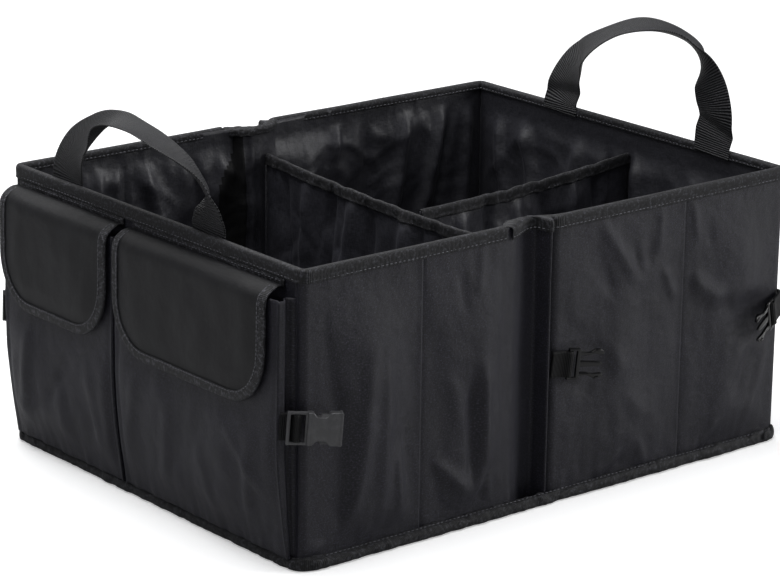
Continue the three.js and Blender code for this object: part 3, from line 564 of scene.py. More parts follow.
def puffOf(wall, x, z):
    # how far the cloth stands off its board
    start, end = wall["pleat"]
    nearest = min(abs(x - crease) for crease in wall["creases"])
    wave = namedRipples(wallRipples, wall["seed"])
    pleat = ease(x, start - 2, start - 22) if x < (start + end) / 2 else ease(x, end + 10, end + 34)
    ends = ease(abs(x), body["halfLength"] - 4, body["halfLength"] - 22)
    clear = ease(nearest, 0, 12) * pleat * ends
    for middleX, middleZ, wide, high in wall["hollows"]:
        away = ((x - middleX) / wide) ** 2 + ((z - middleZ) / high) ** 2
        clear *= 1 - math.exp(-away * away)
    bow = sum(height * ease(x, first, crest) * (1 - ease(x, crest, last))
              for first, crest, last, height in wall["swells"])
    swell = bow * (1 + wave("lean", x, z)) + wave("broad", x, z) + wave("middling", x, z)
    swell *= ease(z, 8, 50) * (1 - ease(z, 190, body["underTape"]))
    small = wave("small", x, z) * ease(z, 4, 20) * (1 - 0.6 * ease(z, 150, 220))
    folds = foldsAt(x, z, wall["folds"]) * ease(nearest, 0, 6)
    pucker = wave("footPucker", x, z) * math.exp(-max(z - 8, 0) / 18)
    gather = wave("headGather", x, z) * math.exp(-max(body["underTape"] - z, 0) / 16)
    out = softFloor((swell + small + folds) * clear + (pucker + gather) * ends, 0.3)
    return out + wave("inPleat", x, z) * (1 - pleat)


def longWall(wall):
    side, ridgeX = wall["side"], wall["pleat"][1]
    foot, tall = body["foot"], body["head"] - body["foot"]

    def stepAt(point):
        inRidge = ridgeX - pleatFine["before"] < point.x < ridgeX + pleatFine["after"]
        inCrease = any(abs(point.x - crease) < 6 for crease in wall["creases"])
        return pleatFine["step"] if inRidge or inCrease else body["clothStep"]

    even = spacedLine(smoothLine(wallLine(wall)), stepAt)
    normals = sideways([point for point, _ in even])   # point to lesser depth
    rows = round(tall / body["clothStep"])

    def lay(column, row):
        point, reach = even[column]
        z = foot + tall * row / rows
        at = point + normals[column] * puffOf(wall, point.x, z)
        return Vector((at.x, side * (body["halfWidth"] - at.y), z)), reach, z

    made = clothGrid(len(even) - 1, rows, lay, flip=side > 0)
    clothPiece(made, wall, outerCloth, 1)


longWall(frontWall)
longWall(rearWall)
print("long walls made")


# End walls: the right one shows whole, the left one behind the pockets

endWalls = [
    {"name": "leftEndCloth", "node": "left_end_outer_cloth", "side": -1, "seed": 31, "puff": 0.25},
    {"name": "rightEndCloth", "node": "right_end_outer_cloth", "side": 1, "seed": 37, "puff": 1.0},
]
endRipples = {"broad": (3.0, 100, 160, 0), "middling": (2.0, 36, 80, 1), "footPucker": (2.0, 8, 40, 2)}


def endSheet(look, step, outAt, flip):
    # a sheet across one end; outAt tells how far from the body's middle each spot lies
    low, high = boxOf(look["node"])
    wide, tall = high.y - low.y, high.z - low.z
    columns, rows = round(wide / step), round(tall / step)

    def lay(column, row):
        y, z = low.y + wide * column / columns, low.z + tall * row / rows
        return Vector((look["side"] * outAt(y, z, high.y), y, z)), y, z

    return clothGrid(columns, rows, lay, flip), (wide, tall)


def endWall(wall):
    wave = namedRipples(endRipples, wall["seed"])

    def outAt(y, z, edge):
        clear = ease(abs(y), edge, edge - 24) * ease(z, 8, 40) * (1 - ease(z, 230, body["underTape"]))
        swell = 3.6 + wave("broad", y, z) + wave("middling", y, z)
        pucker = wave("footPucker", y, z) * math.exp(-max(z - 8, 0) / 16)
        out = softFloor(swell * clear, 0.2) + pucker * ease(abs(y), edge, edge - 10)
        return body["halfLength"] + out * wall["puff"]

    made, flat = endSheet(wall, body["clothStep"], outAt, flip=wall["side"] < 0)
    clothPiece(made, wall, outerCloth, 1)


for wall in endWalls:
    endWall(wall)
print("end walls made")


# Linings: thin glossy cloth hanging inside the walls, creased from being folded flat

linings = [
    {"name": "frontLining", "node": "front_lining", "side": -1, "seed": 51, "pleat": frontWall["pleat"],
     "divider": -33, "folds": [(-200, 250, -230, 90, 9, 3.5), (120, 240, 80, 100, 9, 3.5)]},
    {"name": "rearLining", "node": "rear_lining", "side": 1, "seed": 63, "pleat": rearWall["pleat"],
     "divider": -6, "folds": [
        (-232, 262, -224, 120, 6, -3.0), (-206, 262, -214, 150, 6, 3.4), (-176, 262, -176, 20, 4, -3.6),
        (-150, 250, -120, 150, 9, 3.4), (-96, 262, -82, 200, 6, -3.0), (-60, 250, -72, 120, 8, 2.6),
        (60, 240, 30, 150, 12, 4.0), (96, 262, 88, 226, 5, 3.0), (135, 262, 132, 30, 5, -3.6),
        (190, 262, 158, 120, 8, 4.6), (236, 250, 190, 90, 7, 4.8), (252, 262, 226, 130, 5, -3.0),
        (276, 262, 262, 90, 6, 3.8),
     ]},
]
liningStep = 3.6
liningRipples = {"hang": (2.6, 24, 50, 3), "endHang": (2.4, 24, 60, 3), "headGather": (2.2, 9, 50, 7),
                 "tuckSway": (0.9, 30, 120, 0)}
foldGain = {"lining": 1.9, "divider": 1.5}   # how far the listed folds are drawn up


def longLining(look):
    start, end = look["pleat"]
    deep, near = 19.3, body["wall"] - 0.8
    inner = body["halfLength"] - body["wall"] + 0.4
    line = [(-inner, near), (start - 1, near), (start + 7, deep), (end - 4, deep), (end + 15, near),
            (inner, near)]
    even = evenLine(smoothLine(line), step=liningStep)
    foot, tall = body["foot"], body["head"] - body["foot"]
    rows = round(tall / liningStep)
    side = look["side"]
    wave = namedRipples(liningRipples, look["seed"])

    def lay(column, row):
        point, reach = even[column]
        x, z = point.x, foot + tall * row / rows
        free = ease(inner - abs(x), 0, 30) * (1 - ease(z, 238, 266)) * ease(z, 6, 30)
        toDivider = ease(abs(x - look["divider"]), 3, 16)
        hang = 2.4 + 4.2 * crumple(x, z, 46, look["seed"]) + wave("hang", x, z)
        gather = wave("headGather", x, z) * math.exp(-max(267 - z, 0) / 30)
        inPleat = ease(x, start, start + 8) * (1 - ease(x, end - 8, end + 6))
        tucks = 2.6 * math.sin(x * 0.62 + wave("tuckSway", x, z)) * inPleat
        folds = foldGain["lining"] * foldsAt(x, z, look["folds"]) * ease(z, 4, 30)
        folds *= 1 - ease(z, 250, body["underTape"])
        out = softFloor((hang * free + folds + gather + tucks) * toDivider, 0.3)
        return Vector((x, side * (body["halfWidth"] - point.y - 0.8 - out), z)), reach, z

    made = clothGrid(len(even) - 1, rows, lay, flip=side < 0)
    for face in made.faces:
        # the band beside the pleat's step gets the near-black cloth, painted shade standing for the step's
        # shadow, and the band is wider towards its foot
        middle = face.calc_center_median()
        left = start + 2 - 20 * (1 - ease(middle.z, 222, 262))
        face.material_index = int(left < middle.x < start + 10)
    clothPiece(made, look, [liningCloth, pleatShadeCloth], 0.7)


for look in linings:
    longLining(look)

endLinings = [
    {"name": "leftEndLining", "node": "left_end_lining", "side": -1, "seed": 71, "folds": []},
    {"name": "rightEndLining", "node": "right_end_lining", "side": 1, "seed": 83, "divider": -11, "folds": [
        (150, 262, 120, 120, 8, 3.6), (60, 250, 84, 110, 8, 3.4), (20, 262, 0, 130, 7, -3.0),
        (-20, 255, -46, 100, 9, 3.8), (190, 250, 168, 110, 7, 3.6),
    ]},
]


def endLining(look):
    wave = namedRipples(liningRipples, look["seed"])

    def outAt(y, z, edge):
        free = ease(edge - abs(y), 0, 26) * (1 - ease(z, 232, 256)) * ease(z, 6, 30)
        if look["side"] > 0:
            free *= ease(abs(y - look["divider"]), 2, 14)
        hang = 2.4 + 4.4 * crumple(y, z, 48, look["seed"]) + wave("endHang", y, z)
        out = softFloor((hang + foldGain["lining"] * foldsAt(y, z, look["folds"])) * free, 0.2)
        return body["halfLength"] - body["wall"] - out

    made, flat = endSheet(look, liningStep, outAt, flip=look["side"] > 0)
    clothPiece(made, look, liningCloth, 0.7)


for look in endLinings:
    endLining(look)
print("linings made")


# Tape bound round the rim: it folds over the top of the wall and is stitched near its lower edge

rimSection = [
    (3.7, -12.2), (3.9, -11.4), (3.5, -9.9), (3.7, -7), (3.8, -3), (3.1, -0.9), (1.4, 0),
    (-1.4, 0), (-3.1, -0.9), (-3.8, -2.4), (-3.7, -4.4), (-3.5, -5.8), (-3.9, -7.0), (-3.7, -7.6),
]
rimLook = {"step": 3.0, "stitchDrop": {1: 10.2, -1: 5.9}, "stitchOut": 3.75}   # 1 is the outer face
rimRipples = {"wander": (0.5, 60, 1, 0), "small": (0.35, 12, 8, 3), "lift": (0.3, 75, 1, 6),
              "hang": (0.45, 16, 1, 8)}


def rimPlan(endSide, frontX, rearX):
    # plan middle line of the wall round one bay, from the front wall to the rear wall
    inset = body["wall"] / 2
    radius = 4.2
    cx = body["halfLength"] - inset - radius
    cy = body["halfWidth"] - inset - radius
    line = [Vector((frontX, -cy - radius))]
    for cornerY in (-1, 1):
        for k in range(7):
            angle = math.pi / 2 * (k / 6) + (0 if cornerY > 0 else -math.pi / 2)
            x, y = cx + radius * math.cos(angle), cornerY * cy + radius * math.sin(angle)
            line.append(Vector((endSide * x, y)))
    line.append(Vector((rearX, cy + radius)))
    return line


def tapeRun(name, node, line, seed):
    # binds one bay's rim, and gives back the lines of its stitches
    look, wave = rimLook, namedRipples(rimRipples, seed)
    even = evenLine(line, step=look["step"])
    plan = [point for point, _ in even]
    normals = sideways(plan)
    middle = sum(plan, Vector((0, 0))) / len(plan)
    turn = 1 if sum((point - middle).dot(normal) for point, normal in zip(plan, normals)) > 0 else -1
    sectionReach = [0]
    for first, second in zip(rimSection, rimSection[1:]):
        sectionReach.append(sectionReach[-1] + math.dist(first, second))

    def lay(column, row):
        point, reach = even[column]
        out, up = rimSection[row]
        bent = wave("wander", reach, 0) + wave("small", reach, up)
        hang = abs(wave("hang", reach, 0)) * (up / 12) ** 2
        out += bent * (0.3 if up < -1 else 0.1) + math.copysign(0.25, out) * bent
        place = point + normals[column] * turn * out
        z = body["rim"] + up + wave("lift", reach, 0) - hang
        return Vector((place.x, place.y, z)), reach, sectionReach[row]

    tapePiece(clothGrid(len(even) - 1, len(rimSection) - 1, lay, flip=turn > 0), name, node)
    stitches = []
    for face in (1, -1):
        facing = [Vector((n.x, n.y, 0)) * turn * face for n in normals]
        height = body["rim"] - look["stitchDrop"][face]
        points = [Vector((p.x, p.y, height)) + n * look["stitchOut"] for p, n in zip(plan, facing)]
        stitches.append((points, facing))
    return stitches


# the short piece over a pleat follows the sunken cloth outside and the lining's room inside;
# each row: share of the way inwards, how far below the rim, and how much deeper
pleatTapeSection = [
    (0, 12.2, 0), (0, 9.9, 0.3), (0, 5, 0), (0, 1.2, 0.2), (0.25, 0, 0), (0.75, 0, 0),
    (1, 1.2, 0.7), (1, 3.4, 0.9), (1, 5.8, 0.6), (1, 7.6, 0.9),
]


pleatTapeRipples = {"small": (0.9, 6, 1, 0), "wander": (0.9, 22, 1, 4)}


def pleatTape(name, node, wall, seed):
    start, end = wall["pleat"]
    wave = namedRipples(pleatTapeRipples, seed)
    side = wall["side"]
    face = [(x, depth) for x, depth in wallLine(wall) if start - 7 < x < end + 20] + [(end + 16, 0)]
    outer = evenLine(smoothLine(face, 1), step=1.6)
    back = [(start - 6, 4.9), (start + 8, 20.6), (end - 4, 20.6), (end + 16, 4.9)]
    inner = evenLine(smoothLine(back), count=len(outer) - 1)
    normals = sideways([point for point, _ in outer])

    def lay(column, row):
        point, reach = outer[column]
        share, down, deeper = pleatTapeSection[row]
        fade = min(1, max(outer[-1][1] - reach - 2, 0) / 12)
        place = (point + normals[column] * 1.5).lerp(inner[column][0], share)
        z = body["rim"] - down + (wave("small", reach, 0) + wave("wander", reach, 0) - 0.9) * fade
        return Vector((place.x, side * (body["halfWidth"] - place.y - deeper), z)), reach, row * 3.0

    tapePiece(clothGrid(len(outer) - 1, len(pleatTapeSection) - 1, lay, flip=side < 0), name, node)
    points = [Vector((p.x + n.x * 1.7, side * (body["halfWidth"] - p.y - n.y * 1.7), body["rim"] - 10.4))
              for (p, _), n in zip(outer, normals)]
    return points, [Vector((n.x, -side * n.y, 0)) for n in normals]


rimStitches = tapeRun("leftBayRimTape", "left_bay_rim_binding", rimPlan(-1, -64, -52), seed=2.0)
rimStitches += tapeRun("rightBayRimTape", "right_bay_rim_binding", rimPlan(1, 5, 17), seed=8.0)
rimStitches.append(pleatTape("frontPleatTape", "front_pleat_binding", frontWall, seed=4.0))
rimStitches.append(pleatTape("rearPleatTape", "rear_pleat_binding", rearWall, seed=6.0))
stitchPiece("rimStitches", rimStitches)
print("rim bound")


# Tape round the base: a soft roll that gathers at the corners and at the pleats

baseTape = {
    "out": 9, "radiusIn": 6.5, "radiusOut": 27, "step": 2.2,
    "flatRows": 7,   # from here on the rows lie under the box
    "gathers": (1.7, 1.9),   # everywhere, and more at the corners and pleats
    "section": [(0.3, 10.9), (1.6, 11.1), (3.4, 10.0), (4.4, 10.3), (6.8, 8.6), (8.4, 6.0), (9.0, 3.2),
                (8.0, 0.7), (5.6, 0), (2.6, 0), (0.4, 0.1)],
}


baseRipples = {"gather": (1.0, 5.2, 6, 2.5), "sway": (1.4, 46, 1, 5.5), "smallSway": (1.3, 13, 1, 7.5)}


def baseBinding():
    look, wave = baseTape, namedRipples(baseRipples, 0)
    corners = [(1, -1, -90), (1, 1, 0), (-1, 1, 90), (-1, -1, 180)]   # signs of x and y, first angle

    def cornerPoint(corner, angle, out):
        sx, sy, _ = corner
        radius = look["radiusIn"] + (look["radiusOut"] - look["radiusIn"]) * (out / look["out"])
        cx = sx * (body["halfLength"] + out - radius)
        cy = sy * (body["halfWidth"] + out - radius)
        return Vector((cx + radius * math.cos(angle), cy + radius * math.sin(angle)))

    # a station is a corner and an angle, or a share of the way from that corner to the next
    stations = []
    for k, corner in enumerate(corners):
        following = corners[(k + 1) % 4]
        stations += [(corner, None, math.radians(corner[2] + 90 * j / 12)) for j in range(13)]
        straight = 2 * (body["halfWidth"] if corner[0] == following[0] else body["halfLength"])
        count = round(straight / look["step"])
        stations += [(corner, following, j / count) for j in range(1, count)]

    def planPoint(station, out):
        corner, following, at = station
        if following is None:
            return cornerPoint(corner, at, out)
        leave = cornerPoint(corner, math.radians(corner[2] + 90), out)
        return leave.lerp(cornerPoint(following, math.radians(following[2]), out), at)

    count = len(stations)
    ring = [planPoint(station, 5) for station in stations]
    reach = [0]
    for k in range(count):
        reach.append(reach[-1] + (ring[(k + 1) % count] - ring[k]).length)

    def lay(column, row):
        station, at = stations[column % count], reach[column % count]
        out, up = look["section"][row]
        plan = planPoint(station, out)
        toLong = max(abs(plan.x) - body["halfLength"] + 34, 0)
        toEnd = max(abs(plan.y) - body["halfWidth"] + 34, 0)
        cornerNear = ease(toLong * toEnd, 0, 500)
        pleatNear = 1 - ease(abs(plan.x + 6), 14, 40) if abs(plan.y) > body["halfWidth"] - 4 else 0
        least, more = look["gathers"]
        gather = (least + more * max(cornerNear, pleatNear)) * wave("gather", at, row * 2.4)
        sway = wave("sway", at, 0) + wave("smallSway", at, 0)
        grow = (out / look["out"]) * (gather * 0.8 + sway) - 0.6 * ease(out, 4, 9)
        plan = planPoint(station, max(out + grow, 0.3))
        if row < look["flatRows"]:
            up += (gather * 0.7 + sway * 0.6 + 1.4 * cornerNear) * ease(up, 1, 8)
        return Vector((plan.x, plan.y, max(up, 0))), at if column else 0, row * 2.4

    made = clothGrid(count, len(look["section"]) - 1, lay)
    bmesh.ops.remove_doubles(made, verts=made.verts, dist=0.02)
    bmesh.ops.recalc_face_normals(made, faces=made.faces)
    tapePiece(made, "baseTape", "base_binding", thick=0.8)
    points = [planPoint(station, 3.6).to_3d() + Vector((0, 0, 10.6)) for station in stations + stations[:1]]
    stitchPiece("baseStitches", [(points, [Vector((0, 0, 1))] * len(points))])


baseBinding()
print("base bound")


# Dividers: a bound edge that sags, gathered cloth below it

dividerEdge = {   # the bound edge: half its section, its cells, its stitches' drop and how far out they lie
    "section": [(2.0, -11.5), (2.2, -9.8), (1.7, -8.6), (1.9, -4), (1.5, -0.9)], "step": 3, "stitchDrop": 9.2,
    "stitchOut": 1.95,
}


def dividerSheet(look):
    low, high = boxOf(look["node"])
    _, tapeHigh = boxOf(look["tapeNode"])
    start, end = Vector(look["from"]), Vector(look["to"])
    along = end - start
    length = along.length
    along.normalize()
    across = Vector((along.y, -along.x))
    columns = round(length / liningStep)
    rows = round((tapeHigh.z - 1.5 - low.z) / liningStep)
    seed = look["seed"]
    wave = namedRipples({
        "ruffle": (look["ruffle"], 17, 1, 0), "gather": (look["gather"], 7.5, 60, 2),
        "swell": (look["swell"], 80, 160, 4), "tapeRuffle": (look["ruffle"] * 0.6, 14, 1, 9),
    }, seed)

    def sag(s):
        middling = 4 * (s / length) * (1 - s / length)   # 1 halfway, 0 at the ends
        return look["sag"] * middling + wave("ruffle", s, 0) * min(1, 2 * middling)

    def bulge(s, z):
        drop = tapeHigh.z - z
        ends = ease(min(s, length - s), 0, 26)
        free = ease(drop, 4, 60) * ease(z, low.z, low.z + 40)
        pucker = wave("gather", s, drop) * ease(drop, 6, 13) * math.exp(-drop / 26)
        wide = wave("swell", s, z) + 4.2 * crumple(s, z, 52, seed)
        folds = foldGain["divider"] * foldsAt(s, z, look["folds"]) * ease(drop, 4, 24)
        sway = look["sway"] * math.sin(math.pi * s / length) * (0.3 + ease(drop, 0, 80))
        return (wide * free + folds + pucker + sway) * ends

    def lay(column, row):
        s = length * column / columns
        z = low.z + (tapeHigh.z - 1.5 - sag(s) - low.z) * row / rows
        plan = start + along * s + across * bulge(s, z)
        return Vector((plan.x, plan.y, z)), s, z

    made = clothGrid(columns, rows, lay)
    clothPiece(made, look, dividerCloth, 1.2, side=0)

    oneSide = dividerEdge["section"]
    section = oneSide + [(0, 0)] + [(-out, up) for out, up in oneSide[::-1]]
    tapeColumns = round(length / dividerEdge["step"])

    def layTape(column, row):
        s = length * column / tapeColumns
        out, up = section[row]
        z = tapeHigh.z + up - sag(s)
        out += wave("tapeRuffle", s, 0) * (-up / 11)
        plan = start + along * s + across * (bulge(s, z) * 0.9 + out)
        return Vector((plan.x, plan.y, z)), s, row * 2.6

    made = clothGrid(tapeColumns, len(section) - 1, layTape, flip=True)
    tapePiece(made, look["name"] + "Tape", look["tapeNode"])
    lines = []
    for face in (1, -1):
        points = []
        for k in range(tapeColumns + 1):
            s = length * k / tapeColumns
            z = tapeHigh.z - dividerEdge["stitchDrop"] - sag(s)
            plan = start + along * s + across * (bulge(s, z) * 0.9 + face * dividerEdge["stitchOut"])
            points.append(Vector((plan.x, plan.y, z)))
        lines.append((points, [across.to_3d() * face] * len(points)))
    stitchPiece(look["name"] + "Stitches", lines, pitch=4.4, length=3.2, radius=0.36)


crossDivider = {
    "name": "crossDivider", "node": "cross_divider", "tapeNode": "cross_divider_binding",
    "from": (-31.8, -208.3), "to": (-7.2, 208.3), "sag": 4.5, "ruffle": 1.3, "gather": 3.4, "swell": 5.0,
    "sway": -2.0, "seed": 91,
    "folds": [
        (170, 236, 205, 90, 9, -5.5), (150, 225, 168, 60, 8, 4.5), (232, 232, 244, 110, 9, 4.6),
        (262, 238, 286, 60, 8, -5.0), (300, 232, 310, 120, 8, 4.0), (120, 236, 104, 120, 7, 4.2),
        (80, 232, 96, 90, 8, -4.2), (345, 236, 352, 110, 8, -4.4), (386, 236, 380, 120, 6, 4.0),
        (50, 230, 40, 120, 6, 3.6),
    ],
}
lengthwiseDivider = {
    "name": "lengthwiseDivider", "node": "lengthwise_divider", "tapeNode": "lengthwise_divider_binding",
    "from": (-20.0, -52.9), "to": (294.4, -11.0), "sag": 3.5, "ruffle": 2.2, "gather": 3.8, "swell": 4.4,
    "sway": 1.5, "seed": 107,
    "folds": [
        (60, 236, 44, 100, 8, 4.4), (96, 236, 108, 110, 7, -4.4), (140, 236, 128, 90, 7, 4.8),
        (180, 236, 200, 90, 8, -4.4), (226, 236, 216, 120, 6, 4.2), (262, 236, 272, 110, 7, -4.0),
    ],
}
dividerSheet(crossDivider)
dividerSheet(lengthwiseDivider)
print("dividers made")


# Pockets: a bellows side, a seamed corner and a full panel, open at the top

pockets = [
    {"name": "frontPocket", "node": "front_pocket", "seed": 121, "folds": [
        (-170, 30, -182, 120, 8, 3.0), (-120, 24, -104, 90, 9, 2.2), (-40, 30, -56, 110, 9, 2.4),
        (-196, 70, -150, 118, 7, 2.2), (-206, 40, -192, 20, 5, -2.0), (14, 60, -6, 130, 7, 1.8),
    ]},
    {"name": "rearPocket", "node": "rear_pocket", "seed": 137, "folds": [
        (60, 30, 78, 110, 8, 2.4), (120, 26, 132, 96, 9, 2.2), (190, 30, 176, 120, 8, 2.6),
        (150, 60, 110, 110, 7, -1.8),
    ]},
]
pocketShape = {"foot": 8, "belly": 20, "mouth": 18.5, "bellyZ": 135, "tuck": 7, "gussets": 34}
pocketRipples = {"broad": (4.4, 90, 100, 0), "middling": (2.8, 34, 60, 2), "footPucker": (2.2, 9, 36, 4),
                 "small": (0.9, 15, 26, 6), "seamSway": (1.6, 60, 1, 8), "gusset": (0.5, 26, 12, 9)}


def pocketDepth(z, foot, top):
    look = pocketShape
    if z < look["bellyZ"]:
        rise = (z - foot) / (look["bellyZ"] - foot)
        return look["foot"] + (look["belly"] - look["foot"]) * math.sin(max(rise, 0) * math.pi / 2)
    share = (z - look["bellyZ"]) / (top - look["bellyZ"])
    return look["belly"] + (look["mouth"] - look["belly"]) * share


def pocket(look):
    low, high = boxOf(look["node"])
    middle, half = (low.y + high.y) / 2, (high.y - low.y) / 2
    foot, top = low.z, high.z
    wave = namedRipples(pocketRipples, look["seed"])
    gussetCount, panelCount = 8, round(2 * half / body["clothStep"])
    columns = 2 * gussetCount + panelCount
    rows = round((top - foot) / body["clothStep"])

    def planOf(column, z):
        # how far out, how far from the pocket's middle, and how far along the cloth
        depth = pocketDepth(z, foot, top)
        if gussetCount < column <= gussetCount + panelCount:
            share = (column - gussetCount) / panelCount
            return depth, -half + 2 * half * share, depth + 2 * half * share
        side, place = (-1, column) if column <= gussetCount else (1, columns - column)
        share = place / gussetCount
        tuck = pocketShape["tuck"] * min(1, depth / pocketShape["mouth"])
        inward = tuck * math.sin(share / 0.62 * math.pi) if share < 0.62 else 0
        piping = 1.3 * ease(share, 0.72, 0.95)
        return 0.4 + (depth + piping - 0.4) * share, side * (half - inward), share * depth

    def lay(column, row):
        z = foot + (top - foot) * row / rows
        out, y, reach = planOf(column, z)
        toSeam = half - abs(y)
        if gussetCount < column < gussetCount + panelCount:
            edge = ease(toSeam, 0, 18)
            seam = 1.2 * math.exp(-(toSeam / 1.8) ** 2) - 1.0 * math.exp(-((toSeam - 5.5) / 3) ** 2)
            tall = ease(z, foot, foot + 40) * (1 - 0.72 * ease(z, 118, 152))   # flat under its flap
            swell = 3.6 + wave("broad", y, z) + wave("middling", y, z) + wave("small", y, z)
            swell += foldsAt(y + middle, z, look["folds"])
            pucker = wave("footPucker", y, z) * math.exp(-(z - foot) / 16)
            out += swell * edge * tall + seam + pucker * edge
            y += wave("seamSway", z, 0) * (abs(y) / half) ** 4
        else:
            out += wave("gusset", z, column * 4)
        return Vector((-body["halfLength"] - out, middle + y, z)), reach, z

    made = clothGrid(columns, rows, lay)
    clothPiece(made, look, outerCloth, 1.2, side=1)


for look in pockets:
    pocket(look)
print("pockets made")


# Flaps: each leaves its seam under the rim, turns over the pocket's mouth and hangs to a bound hem

flapShape = {"hingeOut": 4.1, "hingeZ": 262.5, "turn": 18, "hem": 149, "tape": 10.5, "cornerWide": 50,
             "cornerTall": 54, "thick": 1.6, "step": 3.0}
flaps = [
    {"name": "frontFlap", "node": "front_flap", "seed": 151, "headerSeed": 12},
    {"name": "rearFlap", "node": "rear_flap", "seed": 167, "headerSeed": 15},
]


def flapLine():
    look = flapShape
    face = 24.0
    points = [(look["hingeOut"], look["hingeZ"]), (look["hingeOut"] + 5, look["hingeZ"] + 0.4),
              (look["hingeOut"] + 11, look["hingeZ"] - 1.6), (face - 1.2, look["hingeZ"] - 8),
              (face, look["hingeZ"] - look["turn"]), (face + 0.8, look["hem"])]
    return evenLine(smoothLine(points, 3), step=1.0)


flapProfile = flapLine()
flapReach = flapProfile[-1][1]
flapNormals = sideways([point for point, _ in flapProfile])


def flapPoint(y, s, lift):
    # a point on the flap at y across and s down from its hinge, raised off the sheet by lift
    place = min(max(s / flapReach, 0), 1) * (len(flapProfile) - 1)
    k = min(int(place), len(flapProfile) - 2)
    point = flapProfile[k][0].lerp(flapProfile[k + 1][0], place - k)
    normal = flapNormals[k].lerp(flapNormals[k + 1], place - k)
    if s > flapReach:
        point = point + Vector((0, -(s - flapReach)))
    out = point.x - normal.x * lift
    up = point.y - normal.y * lift
    return Vector((-body["halfLength"] - out, y, up))


def flapHalf(s, half):
    look = flapShape
    into = max(s - (flapReach - look["cornerTall"]), 0) / look["cornerTall"]
    return half - look["cornerWide"] * (1 - math.sqrt(max(1 - into * into, 0)))


flapRipples = {"broad": (2.4, 70, 60, 0), "middling": (1.0, 26, 34, 2), "tapeSmall": (0.5, 11, 1, 5),
               "tapeBroad": (0.5, 40, 1, 7)}


def flapLift(y, s, half, seed):
    wave = namedRipples(flapRipples, seed)
    edge = ease(flapHalf(s, half) - abs(y), 0, 34) * ease(s, 4, 30) * (1 - ease(s, flapReach - 30, flapReach))
    return (2.4 + wave("broad", y, s) + wave("middling", y, s)) * edge


def thinAt(s):
    # the bound edge is thinner beside the hinge, so that a lifted flap clears the rim
    return 0.4 + 0.6 * ease(s, 10, 26)


def flap(look):
    low, high = boxOf(look["node"] + "_binding")
    middle, half = (low.y + high.y) / 2, (high.y - low.y) / 2 - 0.8
    columns = round(2 * half / flapShape["step"])
    rows = round(flapReach / flapShape["step"])
    seed = look["seed"]
    wave = namedRipples(flapRipples, seed)

    def lay(column, row):
        # rows crowd towards the hem, where the corners turn
        s = flapReach * (1 - (1 - row / rows) ** 1.25)
        y = flapHalf(s, half) * (2 * column / columns - 1)
        return flapPoint(middle + y, s, flapLift(y, s, half, seed)), y, s

    made = clothGrid(columns, rows, lay)
    clothPiece(made, look, flapCloth, flapShape["thick"],
               look["node"], side=0)

    # the bound edge: down one side, round the corner, along the hem and up again
    wide, tall = flapShape["cornerWide"], flapShape["cornerTall"]
    turns = [math.pi / 2 * k / 12 for k in range(13)]
    edge = [(half, 6)]
    edge += [(half - wide * (1 - math.cos(a)), flapReach - tall * (1 - math.sin(a))) for a in turns]
    edge += [(-y, s) for y, s in edge[::-1]]
    even = evenLine(edge, step=2.6)
    plan = [point for point, _ in even]
    inward = sideways(plan)
    if sum((Vector((0, flapReach / 2)) - p).dot(n) for p, n in zip(plan, inward)) < 0:
        inward = [-normal for normal in inward]
    tape = flapShape["tape"]
    section = [(tape, 1.3), (tape - 1.2, 1.7), (tape - 2.4, 1.35), (tape / 2, 1.6), (1.2, 1.5), (0.1, 0.8),
               (0.1, -0.8), (1.2, -1.5), (tape / 2, -1.6), (tape - 1.2, -1.6), (tape, -1.3)]

    def layTape(column, row):
        point, reach = even[column]
        into, lift = section[row]
        bent = wave("tapeSmall", reach, 0) + wave("tapeBroad", reach, 0)
        at = point + inward[column] * (into + bent * 0.5 - 0.9)
        raised = flapLift(at.x, at.y, half, seed) + (lift + bent * 0.35) * thinAt(at.y)
        return flapPoint(middle + at.x, at.y, raised), reach, row * 2.4

    made = clothGrid(len(even) - 1, len(section) - 1, layTape)
    tapePiece(made, look["name"] + "Tape", look["node"] + "_binding", flapTape, look["node"], 0.6, side=0)
    points, facing = [], []
    for k, (point, _) in enumerate(even):
        at = point + inward[k] * (tape - 2.4)
        raised = flapLift(at.x, at.y, half, seed) + 1.75 * thinAt(at.y)
        points.append(flapPoint(middle + at.x, at.y, raised))
        facing.append((points[-1] - flapPoint(middle + at.x, at.y, 0)).normalized())
    stitchPiece(look["name"] + "Stitches", [(points, facing)], look["node"], 4.2, 3.1, 0.4)


for look in flaps:
    flap(look)


headerRipples = {"broad": (0.4, 30, 1, 0), "small": (0.3, 10, 5, 3)}


def headerStrip(look):
    low, high = boxOf(look["node"] + "_header")
    long, wave = high.y - low.y, namedRipples(headerRipples, look["headerSeed"])
    columns = round(long / 3)
    section = [(0.2, 0), (1.7, 0.4), (1.9, 3.4), (2.0, 7.0), (1.6, 8.4), (0.2, 8.6)]

    def lay(column, row):
        y = low.y + long * column / columns
        out, up = section[row]
        if up > 0.1:
            out += wave("broad", y, 0) + wave("small", y, up)
        return Vector((-body["halfLength"] - out, y, low.z - 0.2 + up)), y, row * 2.5

    made = clothGrid(columns, len(section) - 1, lay, flip=True)
    tapePiece(made, look["name"] + "Header", look["node"] + "_header", flapTape, thick=0.5)
    points = [Vector((-body["halfLength"] - 1.8, low.y + 4 + (long - 8) * k / columns, low.z + 5.4))
              for k in range(columns + 1)]
    lines = [(points, [Vector((-1, 0, 0))] * len(points))]
    stitchPiece(look["name"] + "HeaderStitches", lines, radius=0.36)


for look in flaps:
    headerStrip(look)
print("flaps made")


# Handles: flat webbing that twists as it arches, sewn to the inside of the end walls

